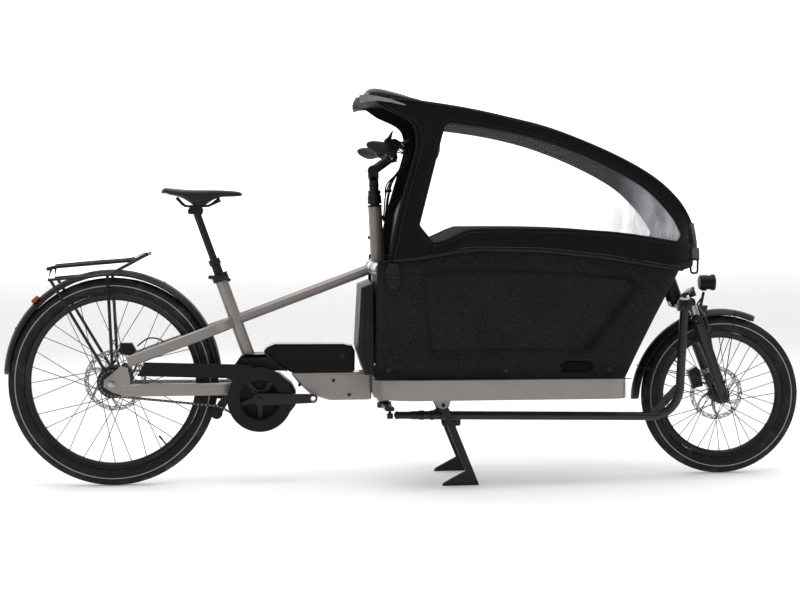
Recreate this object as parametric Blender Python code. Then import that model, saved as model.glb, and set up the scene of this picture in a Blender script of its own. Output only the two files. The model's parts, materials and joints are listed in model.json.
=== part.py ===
"""Cargo bicycle with a front box, a rain canopy and a remote-steered small front wheel.

Lengths are in metres. Inside this file X runs forward from the rear axle, Y to the rider's left and Z up
from the ground. Everything hangs on one empty, which puts the middle of the bicycle over the origin.
"""

import math

import bmesh
import bpy
from mathutils import Matrix, Vector

# ---------------------------------------------------------------- driving dimensions
REAR_TYRE_R = 0.3395
FRONT_TYRE_R = 0.263
TYRE_WIDTH = 0.060
WHEELBASE = 2.003
TAIL_X = -0.352
REAR_RIM_R = 0.2855
FRONT_RIM_R = 0.2090
RIM_DEPTH = 0.020
REAR_AXLE = Vector((0.0, 0.0, REAR_TYRE_R))
FRONT_AXLE = Vector((WHEELBASE, 0.0, FRONT_TYRE_R))
MIDDLE_X = (TAIL_X + WHEELBASE + FRONT_TYRE_R) / 2

FORK_TILT = math.radians(19.5)
FORK_OFFSET = 0.035
FORK_LEG_Y = 0.066
FORK_TRAVEL = 0.030
COLUMN_TILT = math.radians(2.1)
MAST_TOP_Z = 0.906
MAST_TOP_X = 0.858
MAST_R = 0.0225
STEER_ARM = 0.130
STEER_ARM_LEAD = 0.010

CRANK = Vector((0.475, 0.0, 0.283))
CRANK_LENGTH = 0.172
CHAIN_Y = -0.052
CHAINRING_R = 0.083
SPROCKET_R = 0.037
PULLEY = Vector((0.334, CHAIN_Y, 0.236))
PULLEY_R = 0.0195
CHAIN_HALF = 0.003

SEAT_FOOT = Vector((0.4393, 0.0, 0.420))
SEAT_TOP = Vector((0.3505, 0.0, 0.676))
STANCHION_REACH = 0.222

BOX_REAR_BOTTOM = Vector((0.837, 0.0, 0.3585))
BOX_REAR_TOP = Vector((0.850, 0.0, 0.729))
BOX_FRONT_BOTTOM = Vector((1.651, 0.0, 0.3460))
BOX_FRONT_TOP = Vector((1.827, 0.0, 0.688))
BOX_REAR_HALF = 0.305
BOX_FRONT_HALF = 0.250
BOX_WALL = 0.022
BOX_RECESS_HALF = 0.178
BOX_RECESS_DEPTH = 0.052
BULKHEAD_X = 0.912

PLATFORM_REAR_Z = 0.3575
PLATFORM_FRONT_Z = 0.3450
PLATFORM_DEPTH = 0.064

STAND_PIVOT = Vector((1.0626, 0.0, 0.2610))
STAND_LEG_Y = 0.154

GAP = 0.0003

MATERIALS = {
    "frame_paint": ((0.42, 0.39, 0.37), 0.35, 0.2),
    "black_metal": ((0.025, 0.025, 0.027), 0.40, 0.6),
    "anthracite": ((0.045, 0.045, 0.052), 0.38, 0.5),
    "black_plastic": ((0.020, 0.020, 0.022), 0.55, 0.0),
    "dark_plastic": ((0.055, 0.055, 0.060), 0.50, 0.0),
    "silver": ((0.62, 0.62, 0.63), 0.25, 1.0),
    "tyre": ((0.022, 0.022, 0.024), 0.85, 0.0),
    "box_foam": ((0.026, 0.026, 0.028), 0.85, 0.0),
    "canopy_cloth": ((0.012, 0.012, 0.012), 0.75, 0.0),
    "window_film": ((0.85, 0.88, 0.90), 0.08, 0.0),
    "rubber": ((0.020, 0.020, 0.020), 0.80, 0.0),
    "saddle_cover": ((0.030, 0.028, 0.026), 0.60, 0.0),
    "bench_cloth": ((0.30, 0.28, 0.25), 0.90, 0.0),
}


# ---------------------------------------------------------------- scene helpers
def clear_scene():
    for obj in list(bpy.data.objects):
        bpy.data.objects.remove(obj, do_unlink=True)


def material(name):
    """The Principled material of this name, made once."""
    found = bpy.data.materials.get(name)
    if found:
        return found
    colour, roughness, metallic = MATERIALS[name]
    made = bpy.data.materials.new(name)
    made.use_nodes = True
    shader = made.node_tree.nodes["Principled BSDF"]
    shader.inputs["Base Color"].default_value = (*colour, 1.0)
    shader.inputs["Roughness"].default_value = roughness
    shader.inputs["Metallic"].default_value = metallic
    return made


def base_empty():
    found = bpy.data.objects.get("bicycle_base")
    if not found:
        found = bpy.data.objects.new("bicycle_base", None)
        found.location = (-MIDDLE_X, 0.0, 0.0)
        bpy.context.scene.collection.objects.link(found)
    return found


def solid(name, shape, finish, origin=(0.0, 0.0, 0.0)):
    """An object from (points, faces) given in bicycle coordinates, with its origin where asked."""
    points, faces = shape
    start = Vector(origin)
    mesh = bpy.data.meshes.new(name)
    mesh.from_pydata([Vector(p) - start for p in points], [], faces)
    mesh.validate()
    made = bmesh.new()
    made.from_mesh(mesh)
    bmesh.ops.recalc_face_normals(made, faces=made.faces)
    made.to_mesh(mesh)
    made.free()
    mesh.shade_smooth()
    mesh.set_sharp_from_angle(angle=math.radians(35))
    mesh.materials.append(material(finish))
    obj = bpy.data.objects.new(name, mesh)
    obj.location = start
    obj.parent = base_empty()
    bpy.context.scene.collection.objects.link(obj)
    return obj


def merged(*shapes):
    """Several separate shapes as one list of points and faces."""
    points, faces = [], []
    for more_points, more_faces in shapes:
        start = len(points)
        points += list(more_points)
        faces += [[start + i for i in face] for face in more_faces]
    return points, faces


def combine(target, shape, operation, solver="EXACT"):
    """A Boolean of the target with a hidden helper of this shape."""
    helper = solid(f"{target.name}_{operation.lower()}_{len(target.modifiers)}", shape, "silver")
    helper.hide_render = True
    helper.display_type = "WIRE"
    change = target.modifiers.new(operation.title(), "BOOLEAN")
    change.operation = operation
    change.solver = solver
    change.object = helper
    return target


def join(target, *shapes, solver="EXACT"):
    for shape in shapes:
        combine(target, shape, "UNION", solver)
    return target


def cut(target, *shapes):
    for shape in shapes:
        combine(target, shape, "DIFFERENCE")
    return target


# ---------------------------------------------------------------- shapes
def prism(outline, low_y, high_y):
    """An outline of (x, z) points between two planes of Y."""
    count = len(outline)
    points = [(x, low_y, z) for x, z in outline] + [(x, high_y, z) for x, z in outline]
    faces = [list(range(count)), [count + i for i in reversed(range(count))]]
    for i in range(count):
        j = (i + 1) % count
        faces.append([i, count + i, count + j, j])
    return points, faces


def both_sides(outline, low_y, high_y):
    return merged(prism(outline, low_y, high_y), prism(outline, -high_y, -low_y))


def block(low, high):
    (x0, y0, z0), (x1, y1, z1) = low, high
    return prism([(x0, z0), (x1, z0), (x1, z1), (x0, z1)], y0, y1)


def frame_along(direction):
    """Two directions square to this one, the first as level as it can be."""
    forward = Vector(direction).normalized()
    side = forward.cross(Vector((0, 0, 1)))
    if side.length < 0.05:
        side = forward.cross(Vector((1, 0, 0)))
    side.normalize()
    return side, side.cross(forward)


def turned(profile, centre, axis=(0.0, 1.0, 0.0), sides=32):
    """A profile of (radius, distance along the axis) turned round it, where radius zero is a point."""
    centre = Vector(centre)
    along = Vector(axis).normalized()
    across = Vector((0, 0, -1)) if abs(along.z) < 0.9 else Vector((1, 0, 0))
    across = (across - along * across.dot(along)).normalized()
    other = along.cross(across)
    points, rings = [], []
    for radius, distance in profile:
        middle = centre + along * distance
        if radius == 0:
            rings.append([len(points)] * sides)
            points.append(middle)
            continue
        rings.append(list(range(len(points), len(points) + sides)))
        for k in range(sides):
            angle = 2 * math.pi * k / sides
            points.append(middle + across * (radius * math.cos(angle)) + other * (radius * math.sin(angle)))
    faces = []
    closed = all(radius > 0 for radius, _ in profile)
    for i in range(len(rings) if closed else len(rings) - 1):
        low, high = rings[i], rings[(i + 1) % len(rings)]
        for k in range(sides):
            m = (k + 1) % sides
            corners = [low[k], low[m], high[m], high[k]]
            face = [c for n, c in enumerate(corners) if c != corners[n - 1]]
            if len(face) > 2:
                faces.append(face)
    return points, faces


def disc(radius, centre, low, high, axis=(0.0, 1.0, 0.0), sides=32, hole=0.0):
    """A round plate from low to high along the axis, with or without a hole."""
    if hole:
        profile = [(hole, low), (radius, low), (radius, high), (hole, high)]
    else:
        profile = [(0, low), (radius, low), (radius, high), (0, high)]
    return turned(profile, centre, axis, sides)


def swept(path, section, closed=False, side=None):
    """A section of (side, up) points carried along a path. A side given as a vector is kept all along."""
    path = [Vector(p) for p in path]
    held = side is not None
    count, width = len(path), len(section)
    tangents = []
    for i in range(count):
        before = path[i - 1] if closed or i else path[0]
        after = path[(i + 1) % count] if closed or i < count - 1 else path[-1]
        tangents.append((after - before).normalized())
    side = side or frame_along(tangents[0])[0]
    points = []
    for i, (place, tangent) in enumerate(zip(path, tangents)):
        if i and not held:
            side = (side - tangent * side.dot(tangent)).normalized()
        up = tangent.cross(side) * -1
        points += [place + side * a + up * b for a, b in section]
    faces = []
    for i in range(count if closed else count - 1):
        j = (i + 1) % count
        for k in range(width):
            m = (k + 1) % width
            faces.append([i * width + k, i * width + m, j * width + m, j * width + k])
    if not closed:
        faces.append(list(range(width)))
        faces.append([(count - 1) * width + k for k in reversed(range(width))])
    return points, faces


def circle(radius, sides, tall=None):
    tall = radius if tall is None else tall
    turns = [2 * math.pi * (k + 0.5) / sides for k in range(sides)]
    return [(radius * math.cos(t), tall * math.sin(t)) for t in turns]


def tube(path, radius, sides=8):
    return swept(path, circle(radius, sides))


def oblong(width, height, corner=0.35):
    """An eight-cornered section of this width and height."""
    w, h = width / 2, height / 2
    c = min(w, h) * corner
    return [(w, -h + c), (w, h - c), (w - c, h), (-w + c, h), (-w, h - c), (-w, -h + c), (-w + c, -h),
            (w - c, -h)]


def rounded(corners, radius, steps=4):
    """The corners with each inner one replaced by an arc-like bend."""
    corners = [Vector(c) for c in corners]
    path = [corners[0]]
    for before, corner, after in zip(corners, corners[1:], corners[2:]):
        back, on = before - corner, after - corner
        reach = min(radius, back.length * 0.48, on.length * 0.48)
        start, end = corner + back.normalized() * reach, corner + on.normalized() * reach
        for k in range(steps + 1):
            t = k / steps
            path.append(start * (1 - t) ** 2 + corner * 2 * t * (1 - t) + end * t**2)
    path.append(corners[-1])
    return path


def smooth_through(points, steps):
    """A smooth curve through the points, with this many steps between each two."""
    points = [Vector(p) for p in points]
    padded = [points[0] * 2 - points[1], *points, points[-1] * 2 - points[-2]]
    curve = []
    for a, b, c, d in zip(padded, padded[1:], padded[2:], padded[3:]):
        for k in range(steps):
            t = k / steps
            curve.append(0.5 * (b * 2 + (c - a) * t + (a * 2 - b * 5 + c * 4 - d) * t**2
                                + (b * 3 - a - c * 3 + d) * t**3))
    curve.append(points[-1])
    return curve


def arc(centre, radius, start, end, steps):
    """(x, z) points on an arc, angles in degrees from +X towards +Z."""
    turns = [math.radians(start + (end - start) * k / steps) for k in range(steps + 1)]
    return [(centre[0] + radius * math.cos(t), centre[1] + radius * math.sin(t)) for t in turns]


def inset_line(line, depth):
    """An open (x, z) line moved to its right by depth, as walked."""
    moved = []
    for i, (x, z) in enumerate(line):
        x0, z0 = line[max(i - 1, 0)]
        x1, z1 = line[min(i + 1, len(line) - 1)]
        length = math.hypot(x1 - x0, z1 - z0)
        moved.append((x + (z1 - z0) / length * depth, z - (x1 - x0) / length * depth))
    return moved


def hose(name, route, thickness, finish):
    """A bendy hose as a curve object: a POLY spline with a point every few diameters."""
    total = sum((Vector(b) - Vector(a)).length for a, b in zip(route, route[1:]))
    steps = max(2, round(total / (2.6 * thickness) / (len(route) - 1)))
    points = smooth_through(route, steps)
    data = bpy.data.curves.new(name, "CURVE")
    data.dimensions = "3D"
    data.bevel_depth = thickness / 2
    data.bevel_resolution = 2
    data.use_fill_caps = True
    spline = data.splines.new("POLY")
    spline.points.add(len(points) - 1)
    for spot, place in zip(spline.points, points):
        spot.co = (*place, 1.0)
    data.materials.append(material(finish))
    obj = bpy.data.objects.new(name, data)
    obj.parent = base_empty()
    bpy.context.scene.collection.objects.link(obj)
    return obj


# ---------------------------------------------------------------- the two steering axes
FORK_UP = Vector((-math.sin(FORK_TILT), 0.0, math.cos(FORK_TILT)))
FORK_AHEAD = Vector((math.cos(FORK_TILT), 0.0, math.sin(FORK_TILT)))
FORK_FOOT = FRONT_AXLE - FORK_AHEAD * FORK_OFFSET
COLUMN_UP = Vector((-math.sin(COLUMN_TILT), 0.0, math.cos(COLUMN_TILT)))
COLUMN_AHEAD = Vector((math.cos(COLUMN_TILT), 0.0, math.sin(COLUMN_TILT)))
COLUMN_FOOT = Vector((MAST_TOP_X + MAST_TOP_Z * math.tan(COLUMN_TILT), 0.0, 0.0))


def on_fork(up, ahead=0.0, left=0.0):
    """A point by its distances along the fork's steering axis, ahead of it and to its left."""
    return FORK_FOOT + FORK_UP * up + FORK_AHEAD * ahead + Vector((0, left, 0))


def on_column(up, ahead=0.0, left=0.0):
    return COLUMN_FOOT + COLUMN_UP * up + COLUMN_AHEAD * ahead + Vector((0, left, 0))


ROD_REAR_UP = 0.229
ROD_FRONT_UP = 0.372
ROD_REAR_BALL = on_column(ROD_REAR_UP, STEER_ARM_LEAD, -STEER_ARM)
ROD_FRONT_BALL = on_fork(ROD_FRONT_UP, STEER_ARM_LEAD, -STEER_ARM)


# ---------------------------------------------------------------- frame
def chainstay_y(x):
    """Middle of a chainstay or seatstay, drawing in from the dropout to the seat tube."""
    return 0.072 - 0.014 * min(max(x / 0.366, 0), 1)


def main_frame():
    """Seat tube, top tube and the two seatstays, welded together."""
    along = (SEAT_TOP - SEAT_FOOT).normalized()
    frame = solid("main_frame", tube([SEAT_FOOT, SEAT_TOP], 0.021, 16), "frame_paint")
    cross = SEAT_FOOT + along * 0.122
    top_end = on_column(0.696) - Vector((MAST_R + 0.0075, 0, 0))
    join(frame, swept([cross, top_end], oblong(0.036, 0.034, 0.6)))
    for side in (-1, 1):
        path = [(0.052, side * 0.0715, 0.4085), (0.300, side * 0.0590, 0.4970),
                (0.375, side * 0.034, 0.5240),
                cross + along * -0.003 + Vector((-0.012, side * 0.010, 0))]
        join(frame, swept(path, oblong(0.016, 0.036, 0.6)))
    bore_low = SEAT_TOP - along * 0.124
    cut(frame, tube([bore_low, SEAT_TOP + along * 0.02], 0.0162, 16))
    return frame


def chainstay_yoke():
    """Both chainstays with their dropouts and the motor's mounting plate."""
    plate = [(0.368, 0.294), (0.391, 0.294), (0.394, 0.325), (0.412, 0.350), (0.440, 0.3655),
             (0.475, 0.3690),
             (0.520, 0.3700), (0.558, 0.3690), (0.500, 0.413), (0.425, 0.413), (0.368, 0.352)]
    yoke = solid("chainstay_yoke", prism(plate, -0.042, 0.052), "frame_paint")
    dropout = [(-0.026, 0.330), (-0.024, 0.352), (-0.006, 0.366), (0.030, 0.396), (0.052, 0.388),
               (0.060, 0.342),
               (0.045, 0.298), (0.004, 0.311)]
    for side in (-1, 1):
        path = [(0.030, side * chainstay_y(0), 0.317), (0.366, side * 0.0575, 0.315),
                (0.384, side * 0.046, 0.318)]
        low, high = sorted((side * 0.0665, side * 0.0775))
        join(yoke, swept(path, oblong(0.015, 0.040, 0.5)), prism(dropout, low, high))
    cut(yoke, disc(0.0065, REAR_AXLE, -0.12, 0.12, sides=12))
    return yoke


def frame_mast():
    """The upright tube behind the box, which carries the steering column."""
    wall = [(0, 0.262), (MAST_R, 0.262), (MAST_R, MAST_TOP_Z), (0, MAST_TOP_Z)]
    mast = solid("frame_mast", turned(wall, COLUMN_FOOT, COLUMN_UP, 16), "frame_paint")
    lug = [(0.8700, 0.668), (0.9080, 0.668), (0.9080, 0.708), (0.8690, 0.708)]
    join(mast, prism(lug, -0.014, 0.014))
    cut(mast, turned([(0, 0.25), (0.0178, 0.25), (0.0178, 0.95), (0, 0.95)], COLUMN_FOOT, COLUMN_UP, 16))
    return mast


def lower_beam():
    outline = [(0.600, 0.330), (0.575, 0.3610), (0.8385, 0.3610), (0.8385, 0.270), (0.702, 0.270),
               (0.640, 0.290)]
    return solid("lower_beam", prism(outline, -0.048, 0.048), "frame_paint")


def platform_z(x):
    share = (x - BOX_REAR_BOTTOM.x) / (BOX_FRONT_BOTTOM.x - BOX_REAR_BOTTOM.x)
    return PLATFORM_REAR_Z + (PLATFORM_FRONT_Z - PLATFORM_REAR_Z) * share


def plan_outline(rear, front, rear_half, front_half, rear_round, front_round, steps=5):
    """One tapered rectangle with rounded corners, as (x, y) points."""
    half = []
    for k in range(steps + 1):
        t = math.pi / 2 * k / steps
        half.append((rear + rear_round * (1 - math.sin(math.pi / 2 - t)),
                     rear_half - rear_round * (1 - math.sin(t))))
    for k in range(steps + 1):
        t = math.pi / 2 * k / steps
        half.append((front - front_round * (1 - math.sin(t)), front_half - front_round * (1 - math.cos(t))))
    return half + [(x, -y) for x, y in reversed(half)]


def tray(outline, top, low):
    """A plan outline between two heights, each a function of X."""
    count = len(outline)
    points = [(x, y, low(x)) for x, y in outline] + [(x, y, top(x)) for x, y in outline]
    faces = [list(range(count)), [count + i for i in range(count)]]
    faces += [[i, (i + 1) % count, count + (i + 1) % count, count + i] for i in range(count)]
    return points, faces


def box_platform():
    """The tray that the box stands on: a deck with deep side rails, and the stand's cross member."""
    outer = plan_outline(0.8388, 1.649, 0.300, 0.247, 0.120, 0.060)
    inner = plan_outline(0.930, 1.610, 0.268, 0.218, 0.090, 0.040)
    platform = solid(
        "box_platform",
        tray(outer, platform_z, lambda x: platform_z(x) - PLATFORM_DEPTH),
        "frame_paint",
    )
    cut(
        platform,
        tray(inner, lambda x: platform_z(x) - 0.006, lambda x: 0.20),
        turned([(0, -0.1), (MAST_R + GAP, -0.1), (MAST_R + GAP, 0.2), (0, 0.2)], on_column(0.31),
               COLUMN_UP, 20),
        block((1.594, -0.026, 0.20), (1.70, 0.026, 0.40)),
    )
    ear = [(1.030, 0.330), (1.040, 0.252), (1.0626, 0.246), (1.085, 0.252), (1.100, 0.330)]
    join(platform, block((1.030, -0.262, 0.296), (1.095, 0.262, 0.330)), both_sides(ear, 0.120, 0.128))
    cut(platform, disc(0.0104, STAND_PIVOT, -0.14, 0.14, sides=16))
    return platform


def front_upright():
    """The hidden upright in front of the box, ending in the fork's head tube."""
    head = turned([(0.0185, 0.352), (0.027, 0.352), (0.027, 0.452), (0.0185, 0.452)], FORK_FOOT, FORK_UP,
                  20)
    upright = solid("front_upright", head, "black_metal")
    path = rounded([(1.622, 0, 0.290), (1.634, 0, 0.360), (1.772, 0, 0.615), on_fork(0.400, -0.022)], 0.06,
                   2)
    join(upright, swept(path, oblong(0.046, 0.040, 0.5)))
    return upright


# ---------------------------------------------------------------- box
def rim_z(x):
    """Height of the box's top edge: it rises to the middle and falls towards the nose."""
    corners = [(0.850, 0.729), (0.966, 0.737), (1.143, 0.764), (1.375, 0.757), (1.586, 0.731),
               (1.827, 0.688)]
    for (x0, z0), (x1, z1) in zip(corners, corners[1:]):
        if x <= x1:
            return z0 + (z1 - z0) * (x - x0) / (x1 - x0)
    return corners[-1][1]


def box_path(level, depth):
    """Half of the box's plan at a level from 0, its foot, to 1, its rim, moved inwards by depth."""
    rear = BOX_REAR_BOTTOM.x + (BOX_REAR_TOP.x - BOX_REAR_BOTTOM.x) * level
    front = BOX_FRONT_BOTTOM.x + (BOX_FRONT_TOP.x - BOX_FRONT_BOTTOM.x) * level - depth
    corner = BOX_FRONT_HALF - BOX_RECESS_HALF - depth
    path = []
    for share in (0.0, 0.15, 0.34, 0.60, 0.82):
        x = rear + (front - corner - rear) * share
        path.append((x, BOX_REAR_HALF - depth + (BOX_FRONT_HALF - BOX_REAR_HALF) * share))
    for k in range(6):
        t = math.pi / 2 * k / 5
        path.append((front - corner * (1 - math.sin(t)),
                     BOX_FRONT_HALF - depth - corner * (1 - math.cos(t))))
    path.append((front - BOX_RECESS_DEPTH + depth, BOX_RECESS_HALF))
    return path


def box_side(name, side):
    """One moulded side with its rounded front corner, leaning forward with the nose."""
    points, faces = [], []
    lines = [box_path(0, 0), box_path(0, BOX_WALL), box_path(1, 0), box_path(1, BOX_WALL)]
    for index, line in enumerate(lines):
        for x, y in line:
            foot = platform_z(x) + GAP
            points.append((x, side * y, rim_z(x) if index > 1 else foot))
    count = len(lines[0])
    outer_low, inner_low, outer_high, inner_high = (range(count * k, count * k + count) for k in range(4))
    for i in range(count - 1):
        j = i + 1
        faces.append([outer_low[i], outer_low[j], outer_high[j], outer_high[i]])
        faces.append([inner_low[j], inner_low[i], inner_high[i], inner_high[j]])
        faces.append([outer_low[j], outer_low[i], inner_low[i], inner_low[j]])
        faces.append([outer_high[i], outer_high[j], inner_high[j], inner_high[i]])
    for i in (0, count - 1):
        faces.append([outer_low[i], outer_high[i], inner_high[i], inner_low[i]])
    return solid(name, (points, faces), "box_foam")


def box_tub():
    """Floor, rear bulkhead and recessed front wall in one moulding between the sides."""
    lean = (BOX_FRONT_TOP.x - BOX_FRONT_BOTTOM.x) / (BOX_FRONT_TOP.z - PLATFORM_FRONT_Z)
    floor_top = 0.380

    def front_x(z):
        return BOX_FRONT_BOTTOM.x - BOX_RECESS_DEPTH + (z - PLATFORM_FRONT_Z) * lean

    low_rear, low_front = platform_z(BULKHEAD_X) + GAP, platform_z(1.60) + GAP
    outline = [(BULKHEAD_X, low_rear), (front_x(low_front), low_front), (front_x(0.660), 0.660),
               (front_x(0.660) - 0.020, 0.660), (front_x(floor_top) - 0.020, floor_top),
               (BULKHEAD_X + 0.018, floor_top), (BULKHEAD_X + 0.018, 0.715), (BULKHEAD_X, 0.715)]
    points, faces = prism(outline, -1.0, 1.0)
    fitted = []
    for x, y, z in points:
        level = (z - PLATFORM_REAR_Z) / (0.71 - PLATFORM_REAR_Z)
        nose = BOX_FRONT_BOTTOM.x - 0.07 + 0.176 * level
        share = min((x - 0.84) / (nose - 0.84), 1.0)
        half = BOX_REAR_HALF + (BOX_FRONT_HALF - BOX_REAR_HALF) * share - BOX_WALL - 0.003
        if x > 1.5:
            half = BOX_RECESS_HALF - 0.0035
        fitted.append((x, y * half, z))
    return solid("box_tub", (fitted, faces), "dark_plastic")


def rear_cover():
    """The moulded cover over the mast behind the box, open towards the mast."""
    outline = [(0.8425, 0.657), (0.803, 0.643), (0.790, 0.437), (0.812, 0.3630), (0.8425, 0.3630)]
    inner = [(0.8500, 0.649), (0.810, 0.636), (0.797, 0.437), (0.818, 0.3700), (0.8500, 0.3700)]
    cover = solid("rear_cover", prism(outline, -0.165, 0.165), "dark_plastic")
    cut(cover, prism(inner, -0.158, 0.158))
    return cover


def bench():
    """The passengers' bench: a seat pan and a back in one fold-up shell."""
    outline = [(0.950, 0.520), (1.235, 0.535), (1.235, 0.560), (0.988, 0.550), (0.974, 0.870),
               (0.966, 0.892), (0.954, 0.884)]
    return solid("bench", prism(outline, -0.235, 0.235), "bench_cloth")


# ---------------------------------------------------------------- canopy
ROOF_LINE = [(0.801, 1.254), (0.895, 1.250), (0.990, 1.240), (1.130, 1.218), (1.259, 1.190), (1.410, 1.150),
             (1.591, 1.076), (1.723, 1.003), (1.811, 0.927), (1.862, 0.856), (1.889, 0.787), (1.898, 0.711)]
CANOPY_REAR_EDGE = [(0.884, 0.738), (0.917, 0.861), (0.969, 1.038), (0.990, 1.130), (0.988, 1.192)]
WINDOW_EDGE = [(0.981, 0.844), (1.061, 1.133), (1.076, 1.160), (1.254, 1.133), (1.404, 1.094),
               (1.559, 1.031),
               (1.696, 0.954), (1.781, 0.870), (1.822, 0.809), (1.799, 0.781), (1.617, 0.810),
               (1.423, 0.822),
               (1.135, 0.825), (1.025, 0.789)]
NOSE_X = 1.898
REAR_WALL_LINE = [(0.9150, 0.745), (0.930, 0.880), (0.995, 1.000), (1.042, 1.060), (1.048, 1.2215)]
ROOF_THICK = 0.006
ROOF_DROP = 0.012


def canopy_half(x, z):
    """Half the canopy's width: it narrows upwards and towards the nose, where it turns in."""
    hem = 0.308 - 0.055 * (x - 0.85) / 0.98
    turn_in = 1.0 - 0.45 * max((x - 1.72) / (NOSE_X - 1.72), 0.0) ** 3
    return (hem - 0.045 * max(z - 0.72, 0.0) / 0.5) * turn_in


def side_sheet(name, outline, side, thickness, finish, hole=None):
    """A sheet on the canopy's side surface, given by its outline in (x, z), with at most one hole."""
    rings = [outline] + ([hole] if hole else [])
    mesh = bmesh.new()
    for ring in rings:
        corners = [mesh.verts.new((x, 0, z)) for x, z in ring]
        for i, corner in enumerate(corners):
            mesh.edges.new((corner, corners[(i + 1) % len(corners)]))
    bmesh.ops.triangle_fill(mesh, use_beauty=True, edges=mesh.edges[:])
    mesh.verts.ensure_lookup_table()
    mesh.verts.index_update()
    flat = [(v.co.x, v.co.z) for v in mesh.verts]
    triangles = [[v.index for v in face.verts] for face in mesh.faces]
    mesh.free()
    count = len(flat)
    points = [(x, side * canopy_half(x, z), z) for x, z in flat]
    points += [(x, side * (canopy_half(x, z) - thickness), z) for x, z in flat]
    faces = list(triangles)
    uses = {}
    for triangle in triangles:
        for i in range(3):
            a, b = triangle[i], triangle[(i + 1) % 3]
            uses.setdefault(frozenset((a, b)), []).append((a, b))
    faces += [[count + i for i in reversed(triangle)] for triangle in triangles]
    faces += [[b, a, count + a, count + b] for pairs in uses.values() if len(pairs) == 1 for a, b in pairs]
    return solid(name, (points, faces), finish)


def canopy_side(name, side):
    """The cloth round one window, from the hem at the box's rim up to the roof."""
    under_roof = inset_line(ROOF_LINE[2:], ROOF_THICK + ROOF_DROP + 0.004)
    hem = [(x, rim_z(x) + 0.0035) for x in (1.815, 1.70, 1.586, 1.375, 1.143, 0.966)]
    outline = CANOPY_REAR_EDGE + under_roof[:-1] + [(1.8765, 0.716)] + hem
    return side_sheet(name, outline, side, 0.005, "canopy_cloth", WINDOW_EDGE)


def window(name, side):
    centre_x = sum(x for x, _ in WINDOW_EDGE) / len(WINDOW_EDGE)
    centre_z = sum(z for _, z in WINDOW_EDGE) / len(WINDOW_EDGE)
    shrink = 0.994
    outline = [(centre_x + (x - centre_x) * shrink, centre_z + (z - centre_z) * shrink)
               for x, z in WINDOW_EDGE]
    return side_sheet(name, outline, side, 0.002, "window_film")


def canopy_roof():
    """The roof from the visor over the top and down the nose, with the rear wall hanging from it."""
    line = ROOF_LINE
    under = inset_line(line, ROOF_THICK)
    points = []
    shares = (-1.0, -0.5, 0.5, 1.0)
    for (x, z), (xu, zu) in zip(line, under):
        half = canopy_half(x, z) + 0.002
        for share in shares:
            drop = ROOF_DROP * share**2
            normal = Vector((x - xu, z - zu)) / ROOF_THICK
            points.append((x - normal.x * drop, share * half, z - normal.y * drop))
            points.append((xu - normal.x * drop, share * half, zu - normal.y * drop))
    faces = []
    row = 2 * len(shares)
    for i in range(len(line) - 1):
        a, b = i * row, (i + 1) * row
        for k in range(len(shares) - 1):
            faces.append([a + 2 * k, a + 2 * k + 2, b + 2 * k + 2, b + 2 * k])
            faces.append([a + 2 * k + 1, b + 2 * k + 1, b + 2 * k + 3, a + 2 * k + 3])
        faces.append([a, b, b + 1, a + 1])
        faces.append([a + row - 2, a + row - 1, b + row - 1, b + row - 2])
    for a in (0, (len(line) - 1) * row):
        for k in range(len(shares) - 1):
            faces.append([a + 2 * k, a + 2 * k + 1, a + 2 * k + 3, a + 2 * k + 2])
    roof = solid("canopy_roof", (points, faces), "canopy_cloth")
    wall = []
    for x, z in REAR_WALL_LINE:
        half = canopy_half(x, z) - 0.007
        for thick in (0.0, 0.006):
            wall += [(x + 0.004 + thick, half * share, z) for share in (-1.0, 1.0)]
    faces = [[0, 1, 3, 2], [16, 18, 19, 17]]
    for i in range(4):
        a, b = 4 * i, 4 * i + 4
        faces += [[a, b, b + 1, a + 1], [a + 2, a + 3, b + 3, b + 2], [a, a + 2, b + 2, b],
                  [a + 1, b + 1, b + 3, a + 3]]
    join(roof, (wall, faces))
    return roof


# ---------------------------------------------------------------- wheels
def tyre_profile(outer, rim):
    """A tyre's section: square shoulders, round sides and the bead on the rim."""
    half = TYRE_WIDTH / 2
    bead, middle = rim + 0.0008, (outer + rim) / 2
    return [(bead, -0.011), (middle, -half), (outer - 0.012, -half * 0.86), (outer, -half * 0.30),
            (outer, half * 0.30), (outer - 0.012, half * 0.86), (middle, half), (bead, 0.011)]


def laced_wheel(name, centre, rim, hub_profile, flange_r, flange_y, sides):
    """Rim, hub shell and crossed spokes as one laced wheel."""
    half = 0.0145
    low = rim - RIM_DEPTH
    section = [(low, -0.006), (rim - 0.006, -half), (rim, -half), (rim, half), (rim - 0.006, half),
               (low, 0.006)]
    wheel = solid(name, turned(section, centre, sides=sides), "black_metal", centre)
    spokes = []
    thick = 0.0012
    for k in range(32):
        left = 1 if k % 2 else -1
        cross = 1 if (k // 2) % 2 else -1
        rim_turn = 2 * math.pi * k / 32
        hub_turn = rim_turn + cross * math.radians(62)
        y = left * (flange_y + 0.0016 * cross)
        start = centre + Vector(((flange_r - 0.004) * math.cos(hub_turn), y,
                                 (flange_r - 0.004) * math.sin(hub_turn)))
        reach = low + 0.003
        end = centre + Vector((reach * math.cos(rim_turn), left * 0.003, reach * math.sin(rim_turn)))
        spokes.append(swept([start, end], circle(thick, 3)))
    join(wheel, merged(*spokes), turned(hub_profile, centre, sides=16))
    return wheel


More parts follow.
